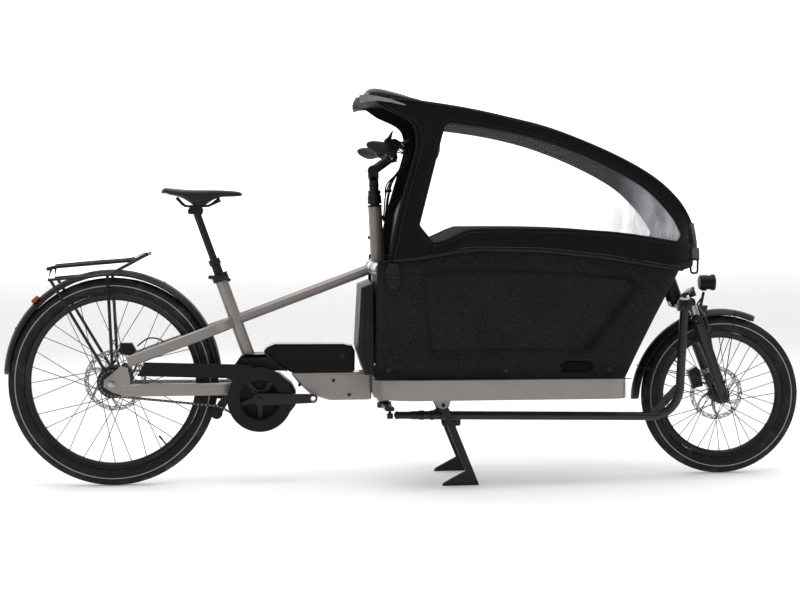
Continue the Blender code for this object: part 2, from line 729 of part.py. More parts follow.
def rotor(name, centre, radius, y):
    ring = solid(name, disc(radius, centre, y - 0.001, y + 0.001, sides=28, hole=radius - 0.016), "silver",
                 centre)
    arms = []
    for k in range(5):
        turn, lean = 2 * math.pi / 5 * k, 0.45
        inner = centre + Vector((0.024 * math.cos(turn), y, 0.024 * math.sin(turn)))
        reach = radius - 0.012
        outer = centre + Vector((reach * math.cos(turn + lean), y, reach * math.sin(turn + lean)))
        arms.append(swept([inner, outer], [(0.0009, -0.005), (0.0009, 0.005), (-0.0009, 0.005),
                                           (-0.0009, -0.005)]))
    join(ring, merged(*arms), disc(0.030, centre, y - 0.0008, y + 0.0008, sides=14, hole=0.0190))
    return ring


def wheels():
    solid("rear_tyre", turned(tyre_profile(REAR_TYRE_R, REAR_RIM_R), REAR_AXLE, sides=36), "tyre",
          REAR_AXLE)
    solid("front_tyre", turned(tyre_profile(FRONT_TYRE_R, FRONT_RIM_R), FRONT_AXLE, sides=32), "tyre",
          FRONT_AXLE)
    gear_hub = [(0.0070, -0.060), (0.0180, -0.060), (0.018, -0.036), (0.052, -0.030), (0.052, -0.022),
                (0.052, 0.022), (0.052, 0.030), (0.018, 0.036), (0.018, 0.058), (0.0070, 0.058)]
    laced_wheel("rear_wheel", REAR_AXLE, REAR_RIM_R, gear_hub, 0.052, 0.0255, 36)
    front_hub = [(0.0066, -0.043), (0.014, -0.043), (0.014, -0.033), (0.029, -0.031), (0.029, -0.025),
                 (0.016, -0.021),
                 (0.016, 0.021), (0.029, 0.025), (0.029, 0.031), (0.0175, 0.033), (0.0175, 0.045),
                 (0.0066, 0.045)]
    laced_wheel("front_wheel", FRONT_AXLE, FRONT_RIM_R, front_hub, 0.029, 0.028, 32)
    rotor("rear_rotor", REAR_AXLE, 0.1015, 0.047)
    rotor("front_rotor", FRONT_AXLE, 0.090, 0.0395)


def rear_axle():
    profile = [(0, -0.088), (0.0060, -0.088), (0.0060, -0.0865), (0.0105, -0.0865), (0.0105, -0.0790),
               (0.0060, -0.0790),
               (0.0060, 0.0790), (0.0105, 0.0790), (0.0105, 0.0865), (0.0060, 0.0865), (0.0060, 0.088),
               (0, 0.088)]
    return solid("rear_axle", turned(profile, REAR_AXLE, sides=12), "silver")


# ---------------------------------------------------------------- drive
def motor_housing():
    body = disc(0.0785, CRANK, -0.040, 0.055, sides=28)
    motor = solid("motor_housing", body, "black_plastic")
    lobe = [(0.475, 0.206), (0.560, 0.218), (0.590, 0.255), (0.592, 0.300), (0.578, 0.326), (0.540, 0.357),
            (0.475, 0.3600)]
    join(motor, prism(lobe, -0.038, 0.053), disc(0.030, CRANK, 0.050, 0.066, sides=24))
    cut(motor, disc(0.0115, CRANK, -0.10, 0.12, sides=16))
    return motor


def crank_outline(end):
    """One crank arm seen from the side: a wide boss drawing in to a round pedal end."""
    boss = arc((CRANK.x, CRANK.z), 0.0205, 70, 290, 6)
    tip = arc((end, CRANK.z), 0.0145, -75, 75, 5)
    return boss + tip


def cranks():
    reach = CRANK.x + CRANK_LENGTH
    right = solid("crank_right", prism(crank_outline(reach), -0.1010, -0.0870), "black_metal", CRANK)
    cut(right, disc(0.0113, CRANK, -0.12, -0.07, sides=16),
        disc(0.0065, (reach, 0, CRANK.z), -0.12, -0.07, sides=12))
    left_outline = [(2 * CRANK.x - x, z) for x, z in reversed(crank_outline(reach))]
    left = solid("crank_left", prism(left_outline, 0.0870, 0.1010), "black_metal", CRANK)
    cut(left, disc(0.0065, (2 * CRANK.x - reach, 0, CRANK.z), 0.07, 0.12, sides=12))
    join(left, disc(0.0109, CRANK, -0.1015, 0.0900, sides=16))
    return right, left


def chainring():
    ring = solid("chainring", disc(CHAINRING_R, CRANK, CHAIN_Y - 0.002, CHAIN_Y + 0.002, sides=28,
                                   hole=0.067),
                 "black_metal", CRANK)
    arms = []
    for k in range(5):
        turn = math.radians(54 + 72 * k)
        out = Vector((math.cos(turn), 0, math.sin(turn)))
        middle = CRANK + Vector((0, CHAIN_Y - 0.001, 0))
        section = [(0.0015, -0.008), (0.0015, 0.008), (-0.0015, 0.008), (-0.0015, -0.008)]
        arms.append(swept([middle + out * 0.020, middle + out * 0.072], section))
    join(ring, merged(*arms), disc(0.026, CRANK, CHAIN_Y - 0.006, CHAIN_Y + 0.004, sides=14, hole=0.0118))
    return ring


def chain():
    """The chain as one closed band over the sprocket, the tensioner pulley and the chainring."""
    reach = CHAIN_HALF + 0.001
    line = arc((0, REAR_AXLE.z), SPROCKET_R + reach, 88.4, 263.4, 9)
    line += arc((PULLEY.x, PULLEY.z), PULLEY_R + reach, 83.4, 59, 2)
    line += arc((CRANK.x, CRANK.z), CHAINRING_R + reach, -121, 88.4, 12)
    path = [(x, CHAIN_Y, z) for x, z in line]
    square = [(0.003, -CHAIN_HALF), (0.003, CHAIN_HALF), (-0.003, CHAIN_HALF), (-0.003, -CHAIN_HALF)]
    return solid("chain", swept(path, square, closed=True, side=Vector((0, 1, 0))), "silver")


def chain_guard():
    """The cover over the upper chain run, with a round window at the chainring."""
    run = [(0.083, 0.364), (0.107, 0.408), (0.400, 0.397), (0.455, 0.392), (0.400, 0.330), (0.376, 0.352)]
    centre = (CRANK.x, 0, 0.281)
    guard = solid("chain_guard", prism(run, -0.0855, -0.0815), "black_plastic")
    join(guard, disc(0.105, centre, -0.0858, -0.0812, sides=36))
    cut(guard, disc(0.065, centre, -0.12, -0.05, sides=28))
    return guard


def tensioner():
    pulley_profile = [(0.0042, -0.0035), (PULLEY_R, -0.0035), (PULLEY_R, 0.0035), (0.0042, 0.0035)]
    solid("tensioner_pulley", turned(pulley_profile, PULLEY, sides=16), "black_plastic", PULLEY)
    arm = [(0.322, 0.226), (0.346, 0.226), (0.372, 0.270), (0.385, 0.290), (0.366, 0.2935), (0.350, 0.286),
           (0.325, 0.250)]
    plate = solid("tensioner_arm", prism(arm, -0.0445, -0.0415), "black_metal")
    join(plate, disc(0.0038, PULLEY, 0.0090, -0.0045, sides=10))
    return plate


# ---------------------------------------------------------------- rear end
def mudguard(name, centre, radius_at, start, end, steps, half):
    """A crowned strip round part of a wheel, its radius a function of the angle."""
    path, thick, crown = [], 0.0025, 0.008
    for k in range(steps + 1):
        turn = start + (end - start) * k / steps
        radius = radius_at(turn)
        path.append(Vector((centre.x + radius * math.cos(math.radians(turn)), 0,
                            centre.z + radius * math.sin(math.radians(turn)))))
    section = [(half, -crown - thick), (half, -crown), (half * 0.5, -0.001), (-half * 0.5, -0.001),
               (-half, -crown),
               (-half, -crown - thick), (-half * 0.5, -thick - 0.001), (half * 0.5, -thick - 0.001)]
    points = []
    for place in path:
        out = (place - Vector((centre.x, 0, centre.z))).normalized()
        points += [place + Vector((0, a, 0)) + out * b for a, b in section]
    width = len(section)
    faces = [list(range(width)), [steps * width + k for k in reversed(range(width))]]
    for i in range(steps):
        for k in range(width):
            m = (k + 1) % width
            faces.append([i * width + k, i * width + m, (i + 1) * width + m, (i + 1) * width + k])
    return solid(name, (points, faces), "anthracite")


def rear_guard_radius(turn):
    """The rear mudguard draws in a little towards both ends."""
    return 0.3665 - 0.0135 * (abs(turn - 92) / 84) ** 2


def front_guard_radius(turn):
    return 0.2865 + 0.012 * max(0.0, (turn - 120) / 62) ** 2


def rack():
    """The luggage rack: a deck loop, lower pannier rails and stays down to the dropouts."""
    r, sides = 0.0055, 6
    half, low_half = 0.055, 0.082
    frame = solid("rack", tube([(0.118, -half - 0.004, 0.754), (0.118, half + 0.004, 0.754)], r, sides),
                  "black_metal")
    shapes = [tube([(-0.195, -half - 0.004, 0.7120), (-0.195, half + 0.004, 0.7120)], r * 1.1, sides)]
    for x in (0.03, -0.07):
        z = 0.718 + (x + 0.167) * 0.073
        shapes.append(tube([(x, -half - 0.003, z), (x, half + 0.003, z)], r * 0.9, sides))
    for side in (-1, 1):
        deck = [(0.119, side * half, 0.7545), (0.080, side * half, 0.736), (-0.167, side * half, 0.718),
                (-0.196, side * half, 0.7118)]
        rail = [(-0.186, side * (half - 0.003), 0.714), (-0.194, side * low_half, 0.677),
                (0.000, side * low_half, 0.692), (0.098, side * (half + 0.001), 0.744)]
        shapes.append(tube(deck, r, sides))
        shapes.append(tube(rail, r * 0.86, sides))
        shapes.append(tube([(-0.188, side * (low_half - 0.001), 0.6785), (-0.023, side * 0.0862, 0.390)],
                           r * 0.93, sides))
        stay = [(-0.006, side * (low_half - 0.002), 0.6925), (0.004, side * 0.0866, 0.408),
                (-0.018, side * 0.0866, 0.382)]
        shapes.append(tube(stay, r * 0.97, sides))
    return join(frame, *shapes, solver="MANIFOLD")


def rear_caliper():
    outline = [(0.012, 0.432), (0.052, 0.418), (0.072, 0.436), (0.058, 0.462), (0.020, 0.462)]
    caliper = solid("rear_caliper", prism(outline, 0.034, 0.060), "black_metal")
    cut(caliper, disc(0.1060, REAR_AXLE, 0.0440, 0.0500, sides=48))
    return caliper


# ---------------------------------------------------------------- saddle
def seat_parts():
    along = (SEAT_TOP - SEAT_FOOT).normalized()
    outer_low, outer_top = SEAT_TOP - along * 0.100, SEAT_TOP + along * 0.060
    inner_low = SEAT_TOP - along * 0.020
    inner_top = SEAT_TOP + along * STANCHION_REACH

    def up(distance):
        return SEAT_TOP + along * distance

    clamp_ring = [(0.0214, -0.014), (0.0275, -0.014), (0.0275, 0.012), (0.0214, 0.012)]
    clamp = solid("seat_clamp", turned(clamp_ring, SEAT_TOP, along, 20), "black_metal")
    join(clamp, tube([up(-0.001) + Vector((-0.030, -0.020, 0)), up(-0.001) + Vector((-0.030, 0.022, 0))],
                     0.006, 8),
         swept([up(0.002) + Vector((-0.034, -0.022, 0.000)), up(0.001) + Vector((0.020, -0.036, -0.004))],
               oblong(0.006, 0.012)))
    sleeve = [(0.0133, -0.100), (0.0158, -0.100), (0.0158, 0.040), (0.0195, 0.044), (0.0195, 0.062),
              (0.0133, 0.062)]
    outer = solid("seatpost_outer", turned(sleeve, SEAT_TOP, along, 12), "black_metal", outer_low)
    stanchion = solid("seatpost_inner", tube([inner_low, inner_top], 0.0126, 12), "black_metal",
                      outer_top)
    head = [(0.252, 0.882), (0.296, 0.880), (0.300, 0.896), (0.290, 0.9105), (0.262, 0.9105),
            (0.250, 0.896)]
    rails = []
    for side in (-1, 1):
        rails.append(tube([(0.216, side * 0.026, 0.9310), (0.241, side * 0.024, 0.9080),
                           (0.318, side * 0.022, 0.9080),
                           (0.356, side * 0.0180, 0.9250)], 0.0035, 6))
    join(stanchion, prism(head, -0.029, 0.029), *rails)
    saddle_shell()
    return clamp, outer, stanchion


def saddle_shell():
    """The saddle: broad at the back, with a long narrow nose."""
    stations = [(0.166, 0.954, 0.040, 0.012), (0.178, 0.956, 0.066, 0.016), (0.215, 0.953, 0.077, 0.017),
                (0.265, 0.950, 0.058, 0.016), (0.320, 0.950, 0.034, 0.016), (0.385, 0.948, 0.021, 0.015),
                (0.418, 0.947, 0.014, 0.010), (0.427, 0.945, 0.006, 0.005)]
    shape = [(-1.0, -0.35), (-0.92, 0.30), (-0.55, 0.82), (0.0, 0.95), (0.55, 0.82), (0.92, 0.30),
             (1.0, -0.35),
             (0.80, -0.80), (-0.80, -0.80)]
    points, faces = [], []
    for x, z, half, tall in stations:
        points += [(x, half * a, z + tall * b) for a, b in shape]
    width = len(shape)
    for i in range(len(stations) - 1):
        for k in range(width):
            m = (k + 1) % width
            faces.append([i * width + k, i * width + m, (i + 1) * width + m, (i + 1) * width + k])
    faces.append(list(range(width)))
    faces.append([(len(stations) - 1) * width + k for k in reversed(range(width))])
    return solid("saddle", (points, faces), "saddle_cover")


# ---------------------------------------------------------------- battery and stand
def battery():
    outline = [(0.487, 0.433), (0.500, 0.447), (0.526, 0.4575), (0.748, 0.4545), (0.778, 0.446),
               (0.7860, 0.430),
               (0.7840, 0.3630), (0.576, 0.3630)]
    return solid("battery", prism(outline, -0.045, 0.045), "black_plastic")


STAND_TIE_REACH = 0.100


def kickstand():
    """The centre stand: two legs with long feet on one pivot tube."""
    leg = [(1.048, 0.262), (1.062, 0.274), (1.075, 0.262), (1.176, 0.004), (1.174, 0.0), (1.0576, 0.0),
           (1.062, 0.010),
           (1.1330, 0.0480)]
    stand = solid("kickstand", both_sides(leg, STAND_LEG_Y - 0.006, STAND_LEG_Y + 0.006), "black_metal",
                  STAND_PIVOT)
    tie = [(1.088, 0.196), (1.108, 0.182), (1.116, 0.196), (1.098, 0.210)]
    join(stand, disc(0.0100, STAND_PIVOT, -STAND_LEG_Y, STAND_LEG_Y, sides=16),
         prism(tie, -STAND_TIE_REACH, STAND_LEG_Y + 0.001))
    return stand


# ---------------------------------------------------------------- steering
def steering_column():
    """The shaft inside the mast with its lower arm, and the adjustable quill above."""
    profile = [(0, 0.242), (0.0165, 0.242), (0.0165, MAST_TOP_Z + 0.004), (0.0235, MAST_TOP_Z + 0.004),
               (0.0225, MAST_TOP_Z + 0.030), (0.0155, MAST_TOP_Z + 0.034), (0.0155, 0.996), (0, 0.996)]
    column = solid("steering_column", turned(profile, COLUMN_FOOT, COLUMN_UP, 16), "black_metal",
                   COLUMN_FOOT)
    hub = turned([(0, 0.240), (0.024, 0.240), (0.024, 0.257), (0, 0.257)], COLUMN_FOOT, COLUMN_UP, 16)
    arm = swept([on_column(0.2485, 0.002, 0.0), on_column(0.2485, STEER_ARM_LEAD, -STEER_ARM - 0.008)],
                oblong(0.030, 0.013))
    return join(column, hub, arm)


def stem():
    """The angled stem from the quill's pivot to the bar clamp."""
    start, end = on_column(1.018), Vector((0.915, 0.0, 1.061))
    body = solid("stem", swept([start, end], oblong(0.034, 0.030, 0.5)), "black_metal")
    join(body, disc(0.0185, start, -0.020, 0.020, sides=16), disc(0.0190, end, -0.022, 0.022, sides=16))
    cut(body, disc(0.0113, end, -0.05, 0.05, sides=16))
    return body


BAR_CENTRE = Vector((0.915, 0.0, 1.061))


def bar_point(y):
    """The handlebar's middle line: it rises and sweeps back outwards."""
    side = min(max((abs(y) - 0.045) / 0.16, 0.0), 1.0)
    blend = side * side * (3 - 2 * side)
    back = max(abs(y) - 0.15, 0.0)
    return Vector((BAR_CENTRE.x - 0.012 * blend - 0.27 * back, y,
                   BAR_CENTRE.z + 0.026 * blend - 0.03 * back))


GRIP_START, GRIP_END = 0.208, 0.335
LEVER_Y = 0.172
LEVER_PIVOT = Vector((0.938, LEVER_Y, 1.098))


def handlebar():
    """The bar with both brake-lever bodies clamped on it."""
    path = [bar_point(y) for y in (-0.2040, -0.15, -0.10, -0.045, 0.045, 0.10, 0.15, 0.2040)]
    bar = solid("handlebar", tube(path, 0.0110, 8), "black_metal")
    for side in (-1, 1):
        seat = bar_point(side * LEVER_Y)
        tip = Vector((LEVER_PIVOT.x - 0.006, side * LEVER_Y, LEVER_PIVOT.z - 0.004))
        tank = [tip + Vector((-0.012, side * -0.052, 0.002)), tip + Vector((-0.004, side * -0.004, 0.0))]
        join(bar, disc(0.0165, seat, -0.008, 0.008, sides=12), swept([seat, tip], oblong(0.014, 0.018)),
             tube(tank, 0.0085, 8))
    return bar


def grip(name, side):
    """A winged grip, wide at the palm and round at the end."""
    points, faces = [], []
    stations = [(GRIP_START, 0.0165, 0.0165), (0.222, 0.0180, 0.0170), (0.262, 0.0200, 0.0165),
                (0.300, 0.0270, 0.0150),
                (0.322, 0.0290, 0.0145), (GRIP_END, 0.0230, 0.0130)]
    for y, deep, tall in stations:
        middle = bar_point(side * y)
        for a, b in circle(1.0, 10):
            back = deep if a < 0 else min(deep, 0.0180)
            points.append((middle.x + a * back, middle.y, middle.z + b * tall - a * back * 0.25))
    for i in range(len(stations) - 1):
        for k in range(10):
            m = (k + 1) % 10
            faces.append([i * 10 + k, i * 10 + m, (i + 1) * 10 + m, (i + 1) * 10 + k])
    faces += [list(range(10)), [(len(stations) - 1) * 10 + k for k in reversed(range(10))]]
    return solid(name, (points, faces), "rubber")


def brake_lever(name, side):
    """The lever blade, from its pivot out over the grip."""
    pivot = Vector((LEVER_PIVOT.x, side * LEVER_Y, LEVER_PIVOT.z))
    path = rounded([pivot + Vector((0.004, side * 0.006, 0.004)),
                    pivot + Vector((0.014, side * 0.034, 0.010)),
                    pivot + Vector((0.004, side * 0.092, 0.006))], 0.03, 3)
    return solid(name, swept(path, oblong(0.012, 0.006)), "black_metal", pivot)


def rod_end():
    """The rear ball joint under the column's arm."""
    ball = turned([(0, -0.012), (0.010, -0.012), (0.010, 0.004), (0.005, 0.006), (0.005, 0.0125),
                   (0, 0.0125)],
                  ROD_REAR_BALL, COLUMN_UP, 12)
    return solid("rod_end", ball, "silver", ROD_REAR_BALL)


def steering_rod():
    """The rod under the box: an adjuster, a straight tube, a bend and the upright to the fork's arm."""
    y = -STEER_ARM
    start = ROD_REAR_BALL + Vector((0.0130, 0, -0.001))
    neck = Vector((0.985, y, 0.2270))
    adjuster = tube([start, neck + Vector((0.02, 0, 0))], 0.0065, 8)
    corners = [neck, (1.785, y, 0.2090), (1.838, y, 0.262), (1.8555, y, 0.560)]
    rod = solid("steering_rod", tube(rounded(corners, 0.055, 3), 0.0140, 12), "anthracite", ROD_REAR_BALL)
    top = [(1.8330, 0.552), (1.8780, 0.552), (1.8770, 0.588), (1.8350, 0.588)]
    gusset = [(1.765, 0.212), (1.838, 0.290), (1.832, 0.312), (1.823, 0.310), (1.740, 0.224),
              (1.735, 0.210)]
    return join(rod, adjuster, prism(gusset, y - 0.005, y + 0.005), prism(top, y - 0.012, y + 0.012))


def fork_crown():
    """The upper half of the fork: steerer, crown and the two stanchions."""
    crown = swept([on_fork(0.333, 0.018, -0.083), on_fork(0.333, 0.018, 0.083)], oblong(0.058, 0.026, 0.5),
                  side=FORK_AHEAD)
    fork = solid("fork_crown", crown, "black_metal", FORK_FOOT)
    steerer = turned([(0, 0.330), (0.0175, 0.330), (0.0175, 0.458), (0, 0.458)], FORK_FOOT, FORK_UP, 16)
    cap = turned([(0, 0.4535), (0.027, 0.4535), (0.024, 0.462), (0, 0.462)], FORK_FOOT, FORK_UP, 16)
    legs = [tube([on_fork(0.140, FORK_OFFSET, y), on_fork(0.333, FORK_OFFSET, y)], 0.0138, 12)
            for y in (-FORK_LEG_Y, FORK_LEG_Y)]
    return join(fork, steerer, cap, *legs)


def fork_arm():
    """The steering arm on the crown's right end."""
    up = ROD_FRONT_UP
    arm = swept([on_fork(up, 0.050, -0.060), on_fork(up, STEER_ARM_LEAD, -STEER_ARM - 0.010)],
                oblong(0.026, 0.012), side=FORK_AHEAD)
    piece = solid("fork_arm", arm, "black_metal")
    boss = [on_fork(0.3475, 0.048, -0.066), on_fork(up + 0.002, 0.048, -0.066)]
    stud = [on_fork(up - 0.003, STEER_ARM_LEAD, -STEER_ARM),
            on_fork(up - 0.012, STEER_ARM_LEAD, -STEER_ARM)]
    return join(piece, tube(boss, 0.012, 10), tube(stud, 0.006, 8))


HEADLIGHT = Vector((1.960, 0.0, 0.637))


def headlight():
    body = turned([(0, -0.026), (0.022, -0.024), (0.024, -0.010), (0.0235, 0.012), (0.027, 0.018),
                   (0.027, 0.026),
                   (0.020, 0.027), (0, 0.028)], HEADLIGHT, (1, 0, 0.0), 20)
    lamp = solid("headlight", body, "black_plastic", (1.952, 0.0, 0.610))
    return join(lamp, prism([(1.944, 0.6095), (1.960, 0.6095), (1.962, 0.620), (1.942, 0.620)], -0.006,
                            0.006))


def fork_lowers():
    """Both lower legs with the arch over the tyre and the lamp's bent bracket."""
    arch = []
    centre = on_fork(0.0, FORK_OFFSET)
    for y, up in ((-FORK_LEG_Y, 0.225), (-0.058, 0.268), (-0.034, 0.296), (0.034, 0.296), (0.058, 0.268),
                  (FORK_LEG_Y, 0.225)):
        arch.append(on_fork(up, FORK_OFFSET + 0.026, y))
    lowers = solid("fork_lowers", tube(arch, 0.0085, 8), "anthracite", centre)
    for y in (-FORK_LEG_Y, FORK_LEG_Y):
        leg = turned([(0, -0.022), (0.012, -0.020), (0.0165, 0.012), (0.0180, 0.060), (0.0195, 0.200),
                      (0.0195, 0.258),
                      (0, 0.258)], centre + Vector((0, y, 0)), FORK_UP, 14)
        bore = turned([(0, 0.100), (0.0142, 0.100), (0.0142, 0.30), (0, 0.30)], centre + Vector((0, y, 0)),
                      FORK_UP, 14)
        root = tube([on_fork(0.222, FORK_OFFSET + 0.008, y), on_fork(0.232, FORK_OFFSET + 0.030, y)],
                    0.009, 8)
        join(lowers, leg, root)
        cut(lowers, bore)
    cut(lowers, disc(0.0062, FRONT_AXLE, -0.12, 0.12, sides=12))
    lamp = rounded([on_fork(0.297, FORK_OFFSET + 0.026, -0.010), (1.9405, -0.010, 0.5640),
                    (1.951, 0.0, 0.604)], 0.012, 2)
    return join(lowers, tube(lamp, 0.005, 6))


def front_axle():
    axle = solid("front_axle", disc(0.0059, FRONT_AXLE, -0.089, 0.089, sides=12), "silver")
    return join(axle, disc(0.0100, FRONT_AXLE, -0.0888, -0.0832, sides=12))


def front_caliper():
    place = on_fork(0.075, FORK_OFFSET - 0.050, 0.0)
    ahead, up = FORK_AHEAD, FORK_UP
    corners = []
    for a, u in ((-0.020, -0.032), (0.014, -0.036), (0.022, 0.020), (0.012, 0.034), (-0.018, 0.030)):
        spot = place + ahead * a + up * u
        corners.append((spot.x, spot.z))
    caliper = solid("front_caliper", prism(corners, 0.0260, 0.0540), "black_metal")
    cut(caliper, disc(0.0930, FRONT_AXLE, 0.0365, 0.0425, sides=48))
    return caliper


# ---------------------------------------------------------------- hoses
def hoses():
    """The control hoses from the bar into the mast's port, and the two brake hoses at the calipers."""
    port = on_column(0.860, 0.0285)
    hose("control_hoses", [port, on_column(0.885, 0.040), on_column(0.940, 0.052), on_column(0.990, 0.058),
                           (0.9330, 0.006, 1.036), (0.9420, 0.030, 1.058), (0.9330, 0.062, 1.078)], 0.010,
                           "rubber")
    hose("front_brake_hose", [(1.8850, 0.0400, 0.3560), (1.8620, 0.044, 0.380), (1.8620, 0.050, 0.425),
                              (1.8780, 0.060, 0.470), (1.8820, 0.0640, 0.5000)], 0.0050, "rubber")
    hose("rear_brake_hose", [(0.0735, 0.052, 0.450), (0.110, 0.050, 0.475), (0.150, 0.049, 0.470),
                             (0.180, 0.0450, 0.445), (0.205, 0.0440, 0.4500)], 0.0050, "rubber")


# ---------------------------------------------------------------- assembly
def build():
    clear_scene()
    main_frame()
    chainstay_yoke()
    frame_mast()
    lower_beam()
    box_platform()
    front_upright()
    for side, word in ((1, "left"), (-1, "right")):
        box_side(f"box_side_{word}", side)
        canopy_side(f"canopy_side_{word}", side)
        window(f"window_{word}", side)
        grip(f"grip_{word}", side)
        brake_lever(f"brake_lever_{word}", side)
    box_tub()
    rear_cover()
    bench()
    canopy_roof()
    wheels()
    rear_axle()
    front_axle()
    motor_housing()
    cranks()
    chainring()
    chain()
    chain_guard()
    tensioner()
    sprocket = disc(SPROCKET_R, REAR_AXLE, CHAIN_Y - 0.0015, CHAIN_Y + 0.0015, sides=20, hole=0.0190)
    solid("rear_sprocket", sprocket, "silver", REAR_AXLE)
    mudguard("rear_mudguard", REAR_AXLE, rear_guard_radius, 8, 175, 16, 0.034)
    mudguard("front_mudguard", FRONT_AXLE, front_guard_radius, 65, 182, 11, 0.033)
    rack()
    rear_caliper()
    front_caliper()
    seat_parts()
    battery()
    kickstand()
    steering_column()
    stem()
    handlebar()
    rod_end()
    steering_rod()
    fork_crown()
    fork_arm()
    headlight()
    fork_lowers()
    hoses()


build()
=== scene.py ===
"""The look of the cargo bicycle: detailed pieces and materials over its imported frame.

Inside this file X runs forward from the rear axle, as in the part's source; each piece is moved into the
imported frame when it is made.
"""

import json
import math

import bmesh
import bpy
from mathutils import Matrix, Vector, noise


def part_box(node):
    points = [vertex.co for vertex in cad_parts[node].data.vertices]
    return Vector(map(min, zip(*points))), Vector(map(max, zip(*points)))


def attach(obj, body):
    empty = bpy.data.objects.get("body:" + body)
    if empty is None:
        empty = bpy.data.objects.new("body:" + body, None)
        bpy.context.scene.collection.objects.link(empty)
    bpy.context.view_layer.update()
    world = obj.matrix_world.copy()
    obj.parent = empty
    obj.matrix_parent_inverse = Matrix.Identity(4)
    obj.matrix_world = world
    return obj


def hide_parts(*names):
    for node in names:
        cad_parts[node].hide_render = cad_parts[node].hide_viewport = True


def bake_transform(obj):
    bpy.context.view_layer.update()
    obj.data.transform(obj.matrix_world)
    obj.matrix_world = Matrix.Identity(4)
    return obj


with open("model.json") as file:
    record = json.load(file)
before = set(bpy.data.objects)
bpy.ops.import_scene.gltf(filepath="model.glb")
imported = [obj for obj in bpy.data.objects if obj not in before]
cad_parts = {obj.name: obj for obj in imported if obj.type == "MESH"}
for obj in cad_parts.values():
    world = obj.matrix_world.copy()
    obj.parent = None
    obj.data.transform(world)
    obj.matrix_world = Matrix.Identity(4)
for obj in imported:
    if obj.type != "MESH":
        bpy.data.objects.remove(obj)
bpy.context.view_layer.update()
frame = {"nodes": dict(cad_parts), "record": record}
JOINTS = {joint["name"]: joint for joint in frame["record"]["behaviour"]["joints"]}


def joint_place(name):
    return Vector(JOINTS[name]["pos_m"])


SHIFT = Vector((joint_place("rear_wheel_spin").x, 0.0, 0.0))
REAR = joint_place("rear_wheel_spin") - SHIFT
FRONT = joint_place("front_wheel_spin") - SHIFT
CRANK = joint_place("crank_spin") - SHIFT
PULLEY = joint_place("pulley_spin") - SHIFT
FORK_FOOT = joint_place("fork_steer") - SHIFT
FORK_UP = Vector(JOINTS["fork_steer"]["axis"])
FORK_AHEAD = Vector((FORK_UP.z, 0.0, -FORK_UP.x))
COLUMN_FOOT = joint_place("column_steer") - SHIFT
COLUMN_UP = Vector(JOINTS["column_steer"]["axis"])
COLUMN_AHEAD = Vector((COLUMN_UP.z, 0.0, -COLUMN_UP.x))
FRAME_BODY = "frame"
Y_AXIS = Vector((0.0, 1.0, 0.0))


def on_fork(up, ahead=0.0, left=0.0):
    return FORK_FOOT + FORK_UP * up + FORK_AHEAD * ahead + Y_AXIS * left


def on_column(up, ahead=0.0, left=0.0):
    return COLUMN_FOOT + COLUMN_UP * up + COLUMN_AHEAD * ahead + Y_AXIS * left


# ---------------------------------------------------------------- materials
def shaded(colour, factor):
    return tuple(min(part * factor, 1.0) for part in colour)


